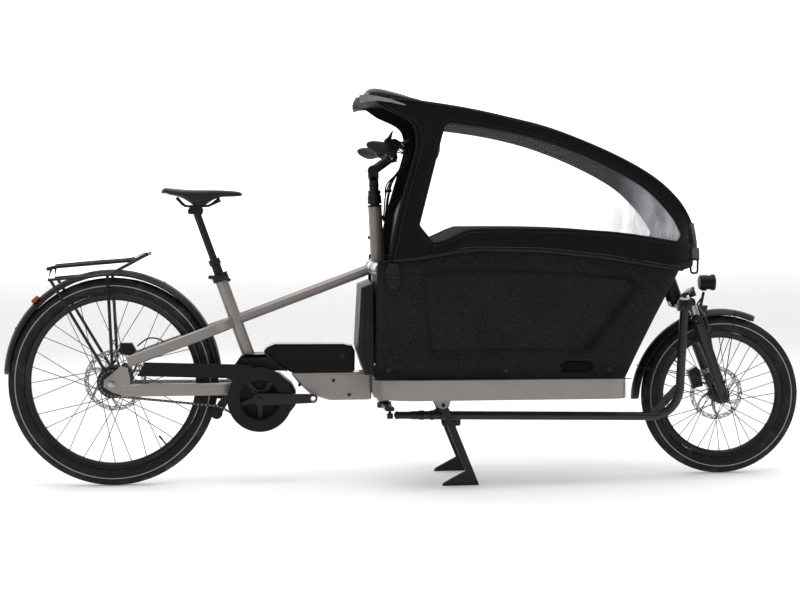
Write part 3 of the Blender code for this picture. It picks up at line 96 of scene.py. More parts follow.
def surface(name, colour, rough, metal=0.0, mottle=0.10, patch=7.0, grain=900.0, bump=0.15, depth=0.0002,
            weave=0.0, scratch=0.0, dust=0.0, coat=0.0, sheen=0.0, alpha=1.0, leather=0.0, gloss=0.5,
            speckle=0.0, painted_edge_shade=False, glare=None):
    """A procedural material: uneven colour and sheen, fine relief, optional weave, wear and dust, optional
    painted shade read from the mesh's shade attribute, and optional painted glare (a painted reflection)
    that raises a film's alpha.
    """
    made = bpy.data.materials.new(name)
    made.use_nodes = True
    tree = made.node_tree
    shader = tree.nodes["Principled BSDF"]
    link = tree.links.new
    coord = tree.nodes.new("ShaderNodeTexCoord").outputs["Object"]

    def noise_node(scale, detail=3.0, stretch=None):
        made_noise = tree.nodes.new("ShaderNodeTexNoise")
        made_noise.inputs["Scale"].default_value = scale
        made_noise.inputs["Detail"].default_value = detail
        source = coord
        if stretch:
            mapping = tree.nodes.new("ShaderNodeMapping")
            mapping.inputs["Scale"].default_value = stretch
            link(coord, mapping.inputs["Vector"])
            source = mapping.outputs["Vector"]
        link(source, made_noise.inputs["Vector"])
        return made_noise.outputs["Fac"]

    def ramp(value, low, high, first, second):
        made_ramp = tree.nodes.new("ShaderNodeValToRGB")
        made_ramp.color_ramp.elements[0].position = low
        made_ramp.color_ramp.elements[1].position = high
        made_ramp.color_ramp.elements[0].color = (*first, 1.0)
        made_ramp.color_ramp.elements[1].color = (*second, 1.0)
        link(value, made_ramp.inputs["Fac"])
        return made_ramp.outputs["Color"]

    def mixed(first, second, factor, mode="MIX"):
        mix = tree.nodes.new("ShaderNodeMix")
        mix.data_type = "RGBA"
        mix.blend_type = mode
        for socket, value in (("A", first), ("B", second)):
            target = [s for s in mix.inputs if s.name == socket and s.type == "RGBA"][0]
            if isinstance(value, tuple):
                target.default_value = (*value, 1.0)
            else:
                link(value, target)
        if isinstance(factor, float):
            mix.inputs[0].default_value = factor
        else:
            link(factor, mix.inputs[0])
        return [s for s in mix.outputs if s.type == "RGBA"][0]

    base = ramp(noise_node(patch, 4.0), 0.30, 0.70, shaded(colour, 1 - mottle), shaded(colour, 1 + mottle))
    fine = noise_node(grain, 2.0)
    base = mixed(base, ramp(fine, 0.25, 0.75, (0.80, 0.80, 0.80), (1.0, 1.0, 1.0)), min(1.0, 0.5 + mottle),
                 "MULTIPLY")
    if speckle:
        dots = ramp(noise_node(grain * 0.55, 1.0), 0.42, 0.60, (1 - speckle,) * 3, (1.0, 1.0, 1.0))
        base = mixed(base, dots, 1.0, "MULTIPLY")
    # painted shade: the mesh's shade attribute darkens the colour to a sixth of itself where the moulding's
    # slopes, hand hole and rear gap would be in shade
    if painted_edge_shade:
        edges = tree.nodes.new("ShaderNodeAttribute")
        edges.attribute_name = "shade"
        base = mixed(base, shaded(colour, 0.16), edges.outputs["Fac"])
    if dust:
        mask = ramp(noise_node(22.0, 6.0), 0.52, 0.78, (0.0, 0.0, 0.0), (dust, dust, dust))
        base = mixed(base, (0.32, 0.30, 0.27), mask)
    roughness = ramp(noise_node(patch * 2.3, 5.0), 0.25, 0.75, (rough * 0.82,) * 3,
                     (min(rough * 1.18, 1.0),) * 3)
    height = fine
    if weave:
        waves = []
        for axis in ("X", "Z"):
            wave = tree.nodes.new("ShaderNodeTexWave")
            wave.wave_type = "BANDS"
            wave.bands_direction = axis
            wave.inputs["Scale"].default_value = weave
            wave.inputs["Distortion"].default_value = 0.4
            link(coord, wave.inputs["Vector"])
            waves.append(wave.outputs["Fac"])
        height = mixed(waves[0], waves[1], 0.5)
        base = mixed(base, ramp(height, 0.2, 0.8, (0.62, 0.62, 0.62), (1.0, 1.0, 1.0)), 0.8, "MULTIPLY")
    if leather:
        cells = tree.nodes.new("ShaderNodeTexVoronoi")
        cells.feature = "DISTANCE_TO_EDGE"
        cells.inputs["Scale"].default_value = leather
        link(coord, cells.inputs["Vector"])
        height = ramp(cells.outputs["Distance"], 0.0, 0.25, (0.0, 0.0, 0.0), (1.0, 1.0, 1.0))
    if scratch:
        lines = noise_node(40.0, 6.0, (1.0, 1.0, 14.0))
        worn = ramp(lines, 0.64, 0.72, (0.0, 0.0, 0.0), (scratch, scratch, scratch))
        base = mixed(base, shaded(tuple(part + 0.10 for part in colour), 1.4), worn)
    relief = tree.nodes.new("ShaderNodeBump")
    relief.inputs["Strength"].default_value = bump
    relief.inputs["Distance"].default_value = depth
    link(height, relief.inputs["Height"])
    link(relief.outputs["Normal"], shader.inputs["Normal"])
    link(base, shader.inputs["Base Color"])
    link(roughness, shader.inputs["Roughness"])
    shader.inputs["Metallic"].default_value = metal
    shader.inputs["Specular IOR Level"].default_value = gloss
    shader.inputs["Coat Weight"].default_value = coat
    shader.inputs["Coat Roughness"].default_value = 0.12
    shader.inputs["Sheen Weight"].default_value = sheen
    shader.inputs["Alpha"].default_value = alpha
    # painted reflection: towards the nose the film's alpha rises in streaks, so its pale colour shows as
    # glare reflected off the film
    if glare:
        begin, finish, most = glare
        split = tree.nodes.new("ShaderNodeSeparateXYZ")
        link(coord, split.inputs["Vector"])
        along = tree.nodes.new("ShaderNodeMapRange")
        along.inputs["From Min"].default_value = begin
        along.inputs["From Max"].default_value = finish
        link(split.outputs["X"], along.inputs["Value"])
        glare_streaks = ramp(noise_node(9.0, 4.0, (2.2, 1.0, 0.8)), 0.36, 0.62, (0.25,) * 3, (1.0,) * 3)
        glare_mask = mixed(along.outputs["Result"], glare_streaks, 1.0, "MULTIPLY")
        spread = tree.nodes.new("ShaderNodeMapRange")
        spread.inputs["To Min"].default_value = alpha
        spread.inputs["To Max"].default_value = most
        link(glare_mask, spread.inputs["Value"])
        link(spread.outputs["Result"], shader.inputs["Alpha"])
    return made


PAINT = surface("frame_paint_look", (0.285, 0.255, 0.243), 0.34, 0.25, 0.03, grain=1400, bump=0.05,
                coat=0.35, dust=0.04)
BLACK = surface("black_metal_look", (0.014, 0.014, 0.015), 0.36, 0.3, 0.12, grain=1500, bump=0.08,
                scratch=0.08, gloss=0.35)
DARK = surface("anthracite_look", (0.024, 0.025, 0.029), 0.36, 0.35, 0.08, grain=1300, bump=0.06, coat=0.12,
               dust=0.04,
               gloss=0.35)
GUARD = surface("mudguard_look", (0.013, 0.013, 0.015), 0.40, 0.1, 0.08, grain=1200, bump=0.08, dust=0.05,
                gloss=0.3)
PLASTIC = surface("moulded_black_look", (0.008, 0.008, 0.009), 0.46, 0.0, 0.10, grain=1800, bump=0.30,
                  scratch=0.04,
                  gloss=0.18)
GLOSS = surface("battery_gloss_look", (0.0045, 0.0045, 0.0050), 0.24, 0.0, 0.10, grain=1100, bump=0.03,
                gloss=0.13)
GREY_PLASTIC = surface("grey_moulding_look", (0.013, 0.0133, 0.016), 0.52, 0.0, 0.08, grain=1700, bump=0.35,
                       dust=0.04,
                       gloss=0.3)
STEEL = surface("bright_steel_look", (0.50, 0.50, 0.51), 0.26, 1.0, 0.06, grain=1600, bump=0.06,
                scratch=0.08)
SPOKE = surface("spoke_steel_look", (0.055, 0.055, 0.058), 0.30, 1.0, 0.05, grain=900, bump=0.02)
ROTOR = surface("rotor_steel_look", (0.42, 0.42, 0.43), 0.30, 1.0, 0.10, patch=14.0, grain=2200, bump=0.10,
                scratch=0.12)
BOLT = surface("bolt_look", (0.020, 0.020, 0.022), 0.30, 0.7, 0.15, grain=2500, bump=0.10)
TYRE = surface("tyre_look", (0.015, 0.015, 0.016), 0.78, 0.0, 0.14, patch=26.0, grain=1300, bump=0.6,
               depth=0.0004,
               dust=0.10, gloss=0.25)
TREAD = surface("tread_look", (0.018, 0.0175, 0.017), 0.88, 0.0, 0.18, patch=30.0, grain=700, bump=0.9,
                depth=0.0006,
                dust=0.22, gloss=0.2)
REFLECT = surface("reflective_band_look", (0.30, 0.305, 0.31), 0.42, 0.2, 0.06, grain=2000, bump=0.15)
RUBBER = surface("soft_rubber_look", (0.010, 0.010, 0.011), 0.66, 0.0, 0.12, grain=1500, bump=0.5,
                 depth=0.0003, gloss=0.3)
# box foam: its colour carries painted shade read from the moulding's shade attribute
FOAM = surface("box_foam_look", (0.0235, 0.0238, 0.0262), 0.80, 0.0, 0.05, patch=4.0, grain=430, bump=0.85,
               depth=0.0007,
               speckle=0.50, weave=185.0, gloss=0.10, painted_edge_shade=True)
FOAM_INNER = surface("box_lining_look", (0.012, 0.012, 0.013), 0.86, 0.0, 0.06, grain=420, bump=0.6,
                     depth=0.0006,
                     gloss=0.15)
CANVAS = surface("canopy_weave_look", (0.0052, 0.0052, 0.0056), 0.50, 0.0, 0.12, patch=9.0, bump=0.35,
                 depth=0.0003,
                 weave=420.0, gloss=0.11)
STRAP = surface("webbing_look", (0.014, 0.014, 0.015), 0.70, 0.0, 0.12, bump=0.7, depth=0.0004, weave=260.0,
                sheen=0.1,
                gloss=0.2)
GREY_STRAP = surface("grey_webbing_look", (0.115, 0.115, 0.120), 0.62, 0.0, 0.12, bump=0.7, depth=0.0004,
                     weave=260.0,
                     gloss=0.3)
LINING = surface("visor_lining_look", (0.30, 0.285, 0.265), 0.80, 0.0, 0.16, patch=24.0, bump=0.6,
                 depth=0.0004,
                 weave=300.0, gloss=0.2)
PIPING = surface("piping_look", (0.009, 0.009, 0.010), 0.52, 0.0, 0.12, grain=900, bump=0.3, weave=900.0,
                 gloss=0.25)
LEATHER = surface("saddle_grain_look", (0.013, 0.0125, 0.012), 0.48, 0.0, 0.08, bump=0.4, depth=0.0003,
                  leather=620.0,
                  gloss=0.3)
UPHOLSTERY = surface("bench_weave_look", (0.20, 0.185, 0.165), 0.88, 0.0, 0.10, patch=12.0, bump=0.8,
                     depth=0.0005,
                     weave=330.0, sheen=0.2)
THREAD = surface("thread_look", (0.032, 0.031, 0.030), 0.70, 0.0, 0.15, grain=2500, bump=0.4)
BRASS = surface("nipple_look", (0.58, 0.56, 0.50), 0.28, 1.0, 0.08, grain=1500, bump=0.05)
RED = surface("tail_lens_look", (0.36, 0.010, 0.008), 0.14, 0.0, 0.12, patch=90.0, grain=600,
              bump=0.25, coat=0.6)
LENS = surface("lamp_lens_look", (0.62, 0.64, 0.67), 0.10, 0.4, 0.10, patch=60.0, grain=420, bump=0.6,
               depth=0.0006,
               coat=0.6)
# dark seam lines; in the box's hand holes the same material is a painted shade
SEAM_AND_SHADE = surface("shadow_gap_look", (0.004, 0.004, 0.005), 0.80, 0.0, 0.10, bump=0.2, gloss=0.1)
# clear window film; its pale colour mostly shows where the painted glare near the nose raises its alpha
FILM = surface("clear_film_look", (0.80, 0.80, 0.86), 0.16, 0.0, 0.04, patch=3.0, grain=60, bump=0.05,
               depth=0.001,
               alpha=0.04, gloss=0.3, glare=(0.66, 0.88, 0.62))


# ---------------------------------------------------------------- shapes
def piece(name, shape, look, body, sharp=40.0, bevel=0.0, stands_for=(), looks=None, slots=None):
    """One shown object from (points, faces), smooth except at edges sharper than the given angle."""
    points, faces = shape
    mesh = bpy.data.meshes.new(name)
    mesh.from_pydata([Vector(point) + SHIFT for point in points], [], faces)
    for material in [look] + list(looks or []):
        mesh.materials.append(material)
    if slots:
        mesh.polygons.foreach_set("material_index", slots)
    builder = bmesh.new()
    builder.from_mesh(mesh)
    bmesh.ops.remove_doubles(builder, verts=builder.verts, dist=1e-6)
    bmesh.ops.recalc_face_normals(builder, faces=builder.faces)
    builder.to_mesh(mesh)
    builder.free()
    mesh.polygons.foreach_set("use_smooth", [True] * len(mesh.polygons))
    mesh.set_sharp_from_angle(angle=math.radians(sharp))
    made = bpy.data.objects.new(name, mesh)
    bpy.context.scene.collection.objects.link(made)
    if bevel:
        edge = made.modifiers.new("edge", "BEVEL")
        edge.width = bevel
        edge.segments = 2
        edge.limit_method = "ANGLE"
        edge.angle_limit = math.radians(sharp)
        edge.harden_normals = True
    if body:
        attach(made, body)
    if stands_for:
        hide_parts(*stands_for)
    return made


def merged(*shapes):
    points, faces = [], []
    for new_points, new_faces in shapes:
        start = len(points)
        points += list(new_points)
        faces += [[index + start for index in face] for face in new_faces]
    return points, faces


def basis(axis):
    axis = Vector(axis).normalized()
    helper = Vector((0, 0, 1)) if abs(axis.z) < 0.9 else Vector((1, 0, 0))
    first = axis.cross(helper).normalized()
    return axis, first, axis.cross(first)


def lathe(profile, origin, axis=Y_AXIS, sides=48):
    """(radius, distance) pairs turned round an axis; radius 0 closes an end."""
    axis, first, second = basis(axis)
    points, rings = [], []
    for radius, along in profile:
        if radius <= 0:
            rings.append([len(points)] * sides)
            points.append(Vector(origin) + axis * along)
            continue
        rings.append(list(range(len(points), len(points) + sides)))
        for k in range(sides):
            turn = 2 * math.pi * k / sides
            points.append(Vector(origin) + axis * along
                          + (first * math.cos(turn) + second * math.sin(turn)) * radius)
    faces = []
    for low, high in zip(rings, rings[1:]):
        for k in range(sides):
            m = (k + 1) % sides
            faces.append(list(dict.fromkeys([low[k], low[m], high[m], high[k]])))
    return points, [face for face in faces if len(face) > 2]


def ring_lathe(profile, origin, axis=Y_AXIS, sides=96):
    """A closed section turned into a ring."""
    return lathe(list(profile) + [profile[0]], origin, axis, sides)


def sweep(path, section, side=None, closed=False, caps=True):
    """A section of (across, over) pairs carried along a path with little twist."""
    path = [Vector(place) for place in path]
    count, width = len(path), len(section)
    points, frames = [], []
    across = Vector(side).normalized() if side else None
    for i, place in enumerate(path):
        before = path[i - 1] if (i or closed) else place
        after = path[(i + 1) % count] if (i < count - 1 or closed) else place
        ahead = (after - before).normalized()
        if across is None:
            across = basis(ahead)[1]
        across = (across - ahead * across.dot(ahead)).normalized()
        frames.append((across, ahead.cross(across)))
    for place, (a, b) in zip(path, frames):
        points += [place + a * u + b * v for u, v in section]
    faces = []
    for i in range(count if closed else count - 1):
        j = (i + 1) % count
        for k in range(width):
            m = (k + 1) % width
            faces.append([i * width + k, i * width + m, j * width + m, j * width + k])
    if caps and not closed:
        faces.append(list(range(width))[::-1])
        faces.append([(count - 1) * width + k for k in range(width)])
    return points, faces


def round_section(radius, sides=16, flat=1.0):
    return [(radius * math.cos(2 * math.pi * k / sides), radius * flat * math.sin(2 * math.pi * k / sides))
            for k in range(sides)]


def box_section(width, height, corner=0.3, steps=3):
    """A rectangle with rounded corners."""
    w, h = width / 2, height / 2
    r = min(w, h) * corner
    section = []
    for index, (cx, cy) in enumerate(((w - r, h - r), (-w + r, h - r), (-w + r, -h + r), (w - r, -h + r))):
        for k in range(steps + 1):
            turn = math.pi / 2 * (index + k / steps)
            section.append((cx + r * math.cos(turn), cy + r * math.sin(turn)))
    return section


def spline(points, steps=8, closed=False):
    """A smooth line through the points."""
    points = [Vector(point) for point in points]
    count = len(points)
    line = []
    for i in range(count if closed else count - 1):
        p1, p2 = points[i], points[(i + 1) % count]
        p0 = points[i - 1] if (i or closed) else p1 * 2 - p2
        p3 = points[(i + 2) % count] if (i < count - 2 or closed) else p2 * 2 - p1
        for k in range(steps):
            t = k / steps
            line.append(((p1 * 2) + (p2 - p0) * t + (p0 * 2 - p1 * 5 + p2 * 4 - p3) * t * t
                         + (p1 * 3 - p0 - p2 * 3 + p3) * t**3) / 2)
    if not closed:
        line.append(points[-1])
    return line


def rounded(points, radius, steps=6):
    """A line with each inner corner turned into an arc-like curve."""
    points = [Vector(point) for point in points]
    line = [points[0]]
    for before, corner, after in zip(points, points[1:], points[2:]):
        reach = min(radius, (before - corner).length * 0.48, (after - corner).length * 0.48)
        start = corner + (before - corner).normalized() * reach
        end = corner + (after - corner).normalized() * reach
        for k in range(steps + 1):
            t = k / steps
            line.append(start * (1 - t) ** 2 + corner * 2 * t * (1 - t) + end * t * t)
    return line + [points[-1]]


def tube(path, radius, sides=16):
    return sweep(path, round_section(radius, sides))


def extrude(outline, low, high):
    """A closed outline of (x, z) from one y to another."""
    count = len(outline)
    points = [(x, low, z) for x, z in outline] + [(x, high, z) for x, z in outline]
    faces = [list(range(count)), [count + k for k in reversed(range(count))]]
    for k in range(count):
        m = (k + 1) % count
        faces.append([k, m, count + m, count + k])
    return points, faces


def bolt_head(place, axis, radius=0.0045, tall=0.003):
    """A socket-head screw: a chamfered head with a hexagonal socket."""
    socket = radius * 0.52
    profile = [(radius, 0.0), (radius, tall * 0.7), (radius * 0.85, tall), (socket, tall),
               (socket * 0.96, tall * 0.3),
               (0, tall * 0.3)]
    return lathe(profile, place, axis, 12)


def washer(place, axis, radius, tall):
    return lathe([(radius, 0), (radius, tall * 0.8), (radius * 0.9, tall), (0, tall)], place, axis, 20)


# ---------------------------------------------------------------- finish of the CAD's own parts
def dress_frame():
    """Rounds the edges of the shown CAD nodes and gives each its material."""
    looks = {
        "frame_paint": PAINT, "black_metal": BLACK, "anthracite": DARK, "black_plastic": PLASTIC,
        "dark_plastic": GREY_PLASTIC, "silver": STEEL, "tyre": TYRE, "box_foam": FOAM,
        "canopy_cloth": CANVAS,
        "window_film": FILM, "rubber": RUBBER, "saddle_cover": LEATHER, "bench_cloth": UPHOLSTERY,
    }
    group = bpy.data.node_groups.new("smooth_by_angle", "GeometryNodeTree")
    group.interface.new_socket("Geometry", in_out="INPUT", socket_type="NodeSocketGeometry")
    group.interface.new_socket("Geometry", in_out="OUTPUT", socket_type="NodeSocketGeometry")
    entry, leave = group.nodes.new("NodeGroupInput"), group.nodes.new("NodeGroupOutput")
    angle = group.nodes.new("GeometryNodeInputMeshEdgeAngle")
    small = group.nodes.new("FunctionNodeCompare")
    small.data_type = "FLOAT"
    small.operation = "LESS_THAN"
    small.inputs["B"].default_value = math.radians(38)
    by_edge, by_face = (group.nodes.new("GeometryNodeSetShadeSmooth") for _ in range(2))
    by_edge.domain = "EDGE"
    group.links.new(angle.outputs["Unsigned Angle"], small.inputs["A"])
    group.links.new(entry.outputs[0], by_face.inputs["Geometry"])
    group.links.new(by_face.outputs[0], by_edge.inputs["Geometry"])
    group.links.new(small.outputs["Result"], by_edge.inputs["Shade Smooth"])
    group.links.new(by_edge.outputs[0], leave.inputs[0])
    slots = {part["node"]: part["material_slot"] for part in frame["record"]["subparts"]}
    special = {"battery": GLOSS, "front_axle": BOLT, "rod_end": BOLT, "rear_mudguard": GUARD,
               "front_mudguard": GUARD}
    wide = {"lower_beam": 0.008, "box_platform": 0.002, "battery": 0.006, "rear_cover": 0.003,
            "motor_housing": 0.003,
            "frame_mast": 0.001, "kickstand": 0.001, "rear_mudguard": 0.0008, "front_mudguard": 0.0008}
    for name, node in frame["nodes"].items():
        look = special.get(name, looks[slots[name]])
        if node.data.materials:
            for index in range(len(node.data.materials)):
                node.material_slots[index].material = look
        else:
            node.data.materials.append(look)
        weld = node.modifiers.new("weld", "WELD")
        weld.merge_threshold = 1e-5
        flat = node.modifiers.new("flat", "DECIMATE")
        flat.decimate_type = "DISSOLVE"
        flat.angle_limit = math.radians(0.3)
        smooth = node.modifiers.new("smooth", "NODES")
        smooth.node_group = group
        edge = node.modifiers.new("edge", "BEVEL")
        edge.width = wide.get(name, 0.0008)
        edge.segments = 2
        edge.limit_method = "ANGLE"
        edge.angle_limit = math.radians(38)
        edge.harden_normals = True


dress_frame()


TYRE_HALF = 0.0297


# ---------------------------------------------------------------- wheels
def tyre_surface(outer, rim, half, angle):
    """(radius, y) on the tyre's skin, 0 degrees at the tread and 130 at the bead."""
    middle = (outer + rim) / 2 + 0.003
    turn = math.radians(angle)
    swell = 1.0 if abs(angle) < 90 else 1.0 - 0.55 * ((abs(angle) - 90) / 40) ** 2
    reach = (outer - middle) if abs(angle) <= 90 else (middle - rim - 0.0006) / math.sin(math.radians(40))
    return middle + reach * math.cos(turn), half * math.sin(turn) * swell


def tyre(name, body, node, centre, outer, rim):
    sides = 180
    angles = [-130 + 260 * k / 30 for k in range(31)]
    profile = [tyre_surface(outer, rim, TYRE_HALF, angle) for angle in angles]
    points, faces = lathe(profile, centre, Y_AXIS, sides)
    rows = len(faces) // sides
    slots = []
    for row in range(rows):
        middle = abs((angles[row] + angles[row + 1]) / 2)
        slots += [1 if middle < 48 else 0] * sides
    piece(name, (points, faces), TYRE, body, 60, stands_for=[node], looks=[TREAD], slots=slots)
    ribs = []
    for row, (angle, wide) in enumerate(((-44, 0.006), (-30, 0.005), (-15, 0.005), (0, 0.005), (15, 0.005),
                                         (30, 0.005),
                                         (44, 0.006))):
        radius, y = tyre_surface(outer, rim, TYRE_HALF, angle)
        tilt = math.radians(angle)
        count = 150 if outer > 0.3 else 116
        for k in range(count):
            turn = 2 * math.pi * (k + 0.5 * (row % 2)) / count
            out = Vector((math.cos(turn), 0, math.sin(turn)))
            along = Vector((-math.sin(turn), 0, math.cos(turn)))
            normal = out * math.cos(tilt) + Y_AXIS * math.sin(tilt)
            over = normal.cross(along)
            base = centre + out * (radius - 0.0012) + Y_AXIS * y
            length = 2 * math.pi * outer / count * 0.36
            top = 0.0012 + (0.0 if abs(angle) < 20 else 0.0004)
            corners = []
            for lift, grow in ((0.0, 1.0), (top, 0.86)):
                for a, b in ((-1, -1), (1, -1), (1, 1), (-1, 1)):
                    corners.append(base + along * a * length * grow + over * b * wide * 0.5 * grow
                                   + normal * lift)
            ribs.append((corners, [[4, 5, 6, 7], [0, 1, 5, 4], [1, 2, 6, 5], [2, 3, 7, 6], [3, 0, 4, 7]]))
    piece(name + "_blocks", merged(*ribs), TREAD, body, 30)
    bands = []
    for side in (-1, 1):
        marks = []
        for angle in (89.5, 91.5, 93.5):
            radius, y = tyre_surface(outer, rim, TYRE_HALF, side * angle)
            marks.append((radius, y + side * 0.0004))
        bands.append(lathe(marks, centre, Y_AXIS, sides))
    piece(name + "_reflective_band", merged(*bands), REFLECT, body, 80)
    beads = []
    for side in (-1, 1):
        for angle, thick in ((116, 0.0010), (104, 0.0007), (70, 0.0007)):
            radius, y = tyre_surface(outer, rim, TYRE_HALF, side * angle)
            section = [(radius + thick * math.cos(t), y + thick * math.sin(t)) for t in
                       [2 * math.pi * k / 6 for k in range(6)]]
            beads.append(ring_lathe(section, centre, Y_AXIS, sides))
    piece(name + "_moulded_rings", merged(*beads), TYRE, body, 80)


def wheel(name, body, node, centre, rim, hub, flange, flange_y, spare):
    low = rim - 0.020
    half = 0.0145
    section = [(low, -0.0035), (low + 0.0012, -0.0065), (low + 0.006, -0.0105),
               (rim - 0.0065, -half + 0.0006),
               (rim - 0.0040, -half), (rim - 0.0008, -half), (rim, -half + 0.0010),
               (rim - 0.0012, -half + 0.003),
               (rim - 0.0012, half - 0.003), (rim, half - 0.0010), (rim - 0.0008, half),
               (rim - 0.0040, half),
               (rim - 0.0065, half - 0.0006), (low + 0.006, 0.0105), (low + 0.0012, 0.0065), (low, 0.0035)]
    piece(name + "_rim", ring_lathe(section, centre, Y_AXIS, 144), BLACK, body, 50, stands_for=[node])
    spokes, nipples = [], []
    for k in range(32):
        left = 1 if k % 2 else -1
        cross = 1 if (k // 2) % 2 else -1
        rim_turn = 2 * math.pi * k / 32
        hub_turn = rim_turn + cross * math.radians(62)
        hub_out = Vector((math.cos(hub_turn), 0, math.sin(hub_turn)))
        rim_out = Vector((math.cos(rim_turn), 0, math.sin(rim_turn)))
        y = left * (flange_y + 0.0022 * cross)
        start = centre + hub_out * (flange - 0.0035) + Y_AXIS * y
        end = centre + rim_out * (low + 0.001) + Y_AXIS * left * 0.0030
        ahead = (end - start).normalized()
        elbow = centre + hub_out * (flange - 0.0040) + Y_AXIS * left * (flange_y - 0.0022 * cross)
        spokes.append(tube([elbow, start, start + ahead * 0.004, end], 0.00125, 8))
        nipples.append(lathe([(0.0012, 0), (0.0019, 0.001), (0.0019, 0.0110), (0, 0.0112)], end, -ahead, 8))
        spokes.append(lathe([(0.0020, 0), (0.0016, 0.0012), (0, 0.0014)], elbow, -Y_AXIS * left * cross, 8))
    piece(name + "_spokes", merged(*spokes), SPOKE, body, 60)
    piece(name + "_nipples", merged(*nipples), BRASS, body, 60)
    piece(name + "_hub", lathe(hub, centre, Y_AXIS, 64), BLACK, body, 35, bevel=0.0007)
    valve_out = Vector((math.cos(spare), 0, math.sin(spare)))
    valve = lathe([(0.0030, 0), (0.0030, 0.003), (0.0026, 0.004), (0.0026, 0.022), (0.0033, 0.0225),
                   (0.0033, 0.034),
                   (0.0022, 0.036), (0, 0.036)], centre + valve_out * (low + 0.001), -valve_out, 14)
    piece(name + "_valve", valve, RUBBER, body, 40)


def slotted_rotor(name, body, node, centre, radius, y):
    """A brake rotor: a vented braking ring, curved arms and a carrier with six bolts."""
    radii = [radius - 0.0155, radius - 0.0125, radius - 0.0095, radius - 0.0065, radius - 0.0035, radius]
    sides = 180
    cells = []
    for ring in range(len(radii) - 1):
        for k in range(sides):
            phase = (k + ring * 2) % 10
            open_cell = (ring in (1, 3) and phase in (2, 3)) or (ring == 2 and phase in (6, 7))
            if not open_cell:
                cells.append((ring, k))
    points = []
    for depth in (-0.00095, 0.00095):
        for r in radii:
            for k in range(sides):
                turn = 2 * math.pi * k / sides
                wave = 0.0007 * math.cos(turn * 18) if r == radii[-1] else 0.0
                points.append(centre + Vector(((r + wave - 0.0007) * math.cos(turn), y + depth,
                                               (r + wave - 0.0007) * math.sin(turn))))
    per = len(radii) * sides
    faces, taken = [], set(cells)
    for ring, k in cells:
        m = (k + 1) % sides
        a, b, c, d = ring * sides + k, ring * sides + m, (ring + 1) * sides + m, (ring + 1) * sides + k
        faces.append([a, b, c, d])
        faces.append([per + d, per + c, per + b, per + a])
        for near, p, q in (((ring - 1, k), a, b), ((ring + 1, k), c, d), ((ring, (k - 1) % sides), d, a),
                           ((ring, m), b, c)):
            if near not in taken:
                faces.append([q, p, per + p, per + q])
    arms = []
    for k in range(6):
        turn = 2 * math.pi / 6 * k
        left, right = [], []
        for step in range(8):
            t = step / 7
            r = 0.022 + (radius - 0.0140 - 0.022) * t
            bend = turn + 0.62 * t
            half = (0.0065 - 0.0022 * math.sin(math.pi * t)) / r
            left.append((r * math.cos(bend - half), r * math.sin(bend - half)))
            right.append((r * math.cos(bend + half), r * math.sin(bend + half)))
        outline = [(centre.x + a, centre.z + b) for a, b in left + right[::-1]]
        count = len(outline)
        strip = [(x, y - 0.0008, z) for x, z in outline] + [(x, y + 0.0008, z) for x, z in outline]
        strip_faces = []
        for i in range(7):
            p, q = i, count - 1 - i
            strip_faces += [[p, p + 1, q - 1, q], [count + q, count + q - 1, count + p + 1, count + p]]
        strip_faces += [[i, (i + 1) % count, count + (i + 1) % count, count + i] for i in range(count)]
        arms.append((strip, strip_faces))
    hub = ring_lathe([(0.0185, y - 0.0009), (0.029, y - 0.0009), (0.029, y + 0.0009),
                      (0.0185, y + 0.0009)], centre,
                     Y_AXIS, 48)
    piece(name, merged((points, faces), *arms, hub), ROTOR, body, 30, stands_for=[node])
    bolts = []
    for k in range(6):
        turn = 2 * math.pi / 6 * (k + 0.3)
        spot = centre + Vector((0.0235 * math.cos(turn), y + 0.0009, 0.0235 * math.sin(turn)))
        bolts.append(bolt_head(spot, Y_AXIS, 0.0038, 0.0022))
    piece(name + "_bolts", merged(*bolts), BOLT, body, 30)


def wheels():
    rear_body, front_body = "wheel_rear", "wheel_front"
    tyre("rear_tyre_skin", rear_body, "rear_tyre", REAR, 0.3395, 0.2855)
    tyre("front_tyre_skin", front_body, "front_tyre", FRONT, 0.2630, 0.2090)
    gear_hub = [(0.0072, -0.060), (0.0165, -0.060), (0.0185, -0.057), (0.0185, -0.040), (0.030, -0.0345),
                (0.046, -0.0325),
                (0.0510, -0.0305), (0.0522, -0.0280), (0.0522, -0.0235), (0.0500, -0.0222),
                (0.0490, -0.0200),
                (0.0485, 0.0), (0.0490, 0.0200), (0.0500, 0.0222), (0.0522, 0.0235), (0.0522, 0.0280),
                (0.0510, 0.0305),
                (0.046, 0.0325), (0.030, 0.0345), (0.0185, 0.040), (0.0185, 0.057), (0.0072, 0.0578)]
    wheel("rear", rear_body, "rear_wheel", REAR, 0.2855, gear_hub, 0.052, 0.0255, -0.9)
    front_hub = [(0.0067, -0.043), (0.0125, -0.043), (0.0140, -0.0415), (0.0140, -0.034), (0.0285, -0.0312),
                 (0.0292, -0.028), (0.0285, -0.0250), (0.0170, -0.021), (0.0155, -0.010), (0.0155, 0.010),
                 (0.0170, 0.021),
                 (0.0285, 0.0250), (0.0292, 0.028), (0.0285, 0.0312), (0.0175, 0.034), (0.0175, 0.0448),
                 (0.0067, 0.045)]
    wheel("front", front_body, "front_wheel", FRONT, 0.2090, front_hub, 0.029, 0.028, 1.72)
    slotted_rotor("rear_vented_rotor", rear_body, "rear_rotor", REAR, 0.1015, 0.047)
    slotted_rotor("front_vented_rotor", front_body, "front_rotor", FRONT, 0.090, 0.0395)


# ---------------------------------------------------------------- drive
def arc(centre, radius, first, last, steps):
    return [(centre[0] + radius * math.cos(math.radians(first + (last - first) * k / steps)),
             centre[1] + radius * math.sin(math.radians(first + (last - first) * k / steps)))
            for k in range(steps + 1)]


CHAIN_Y = -0.052


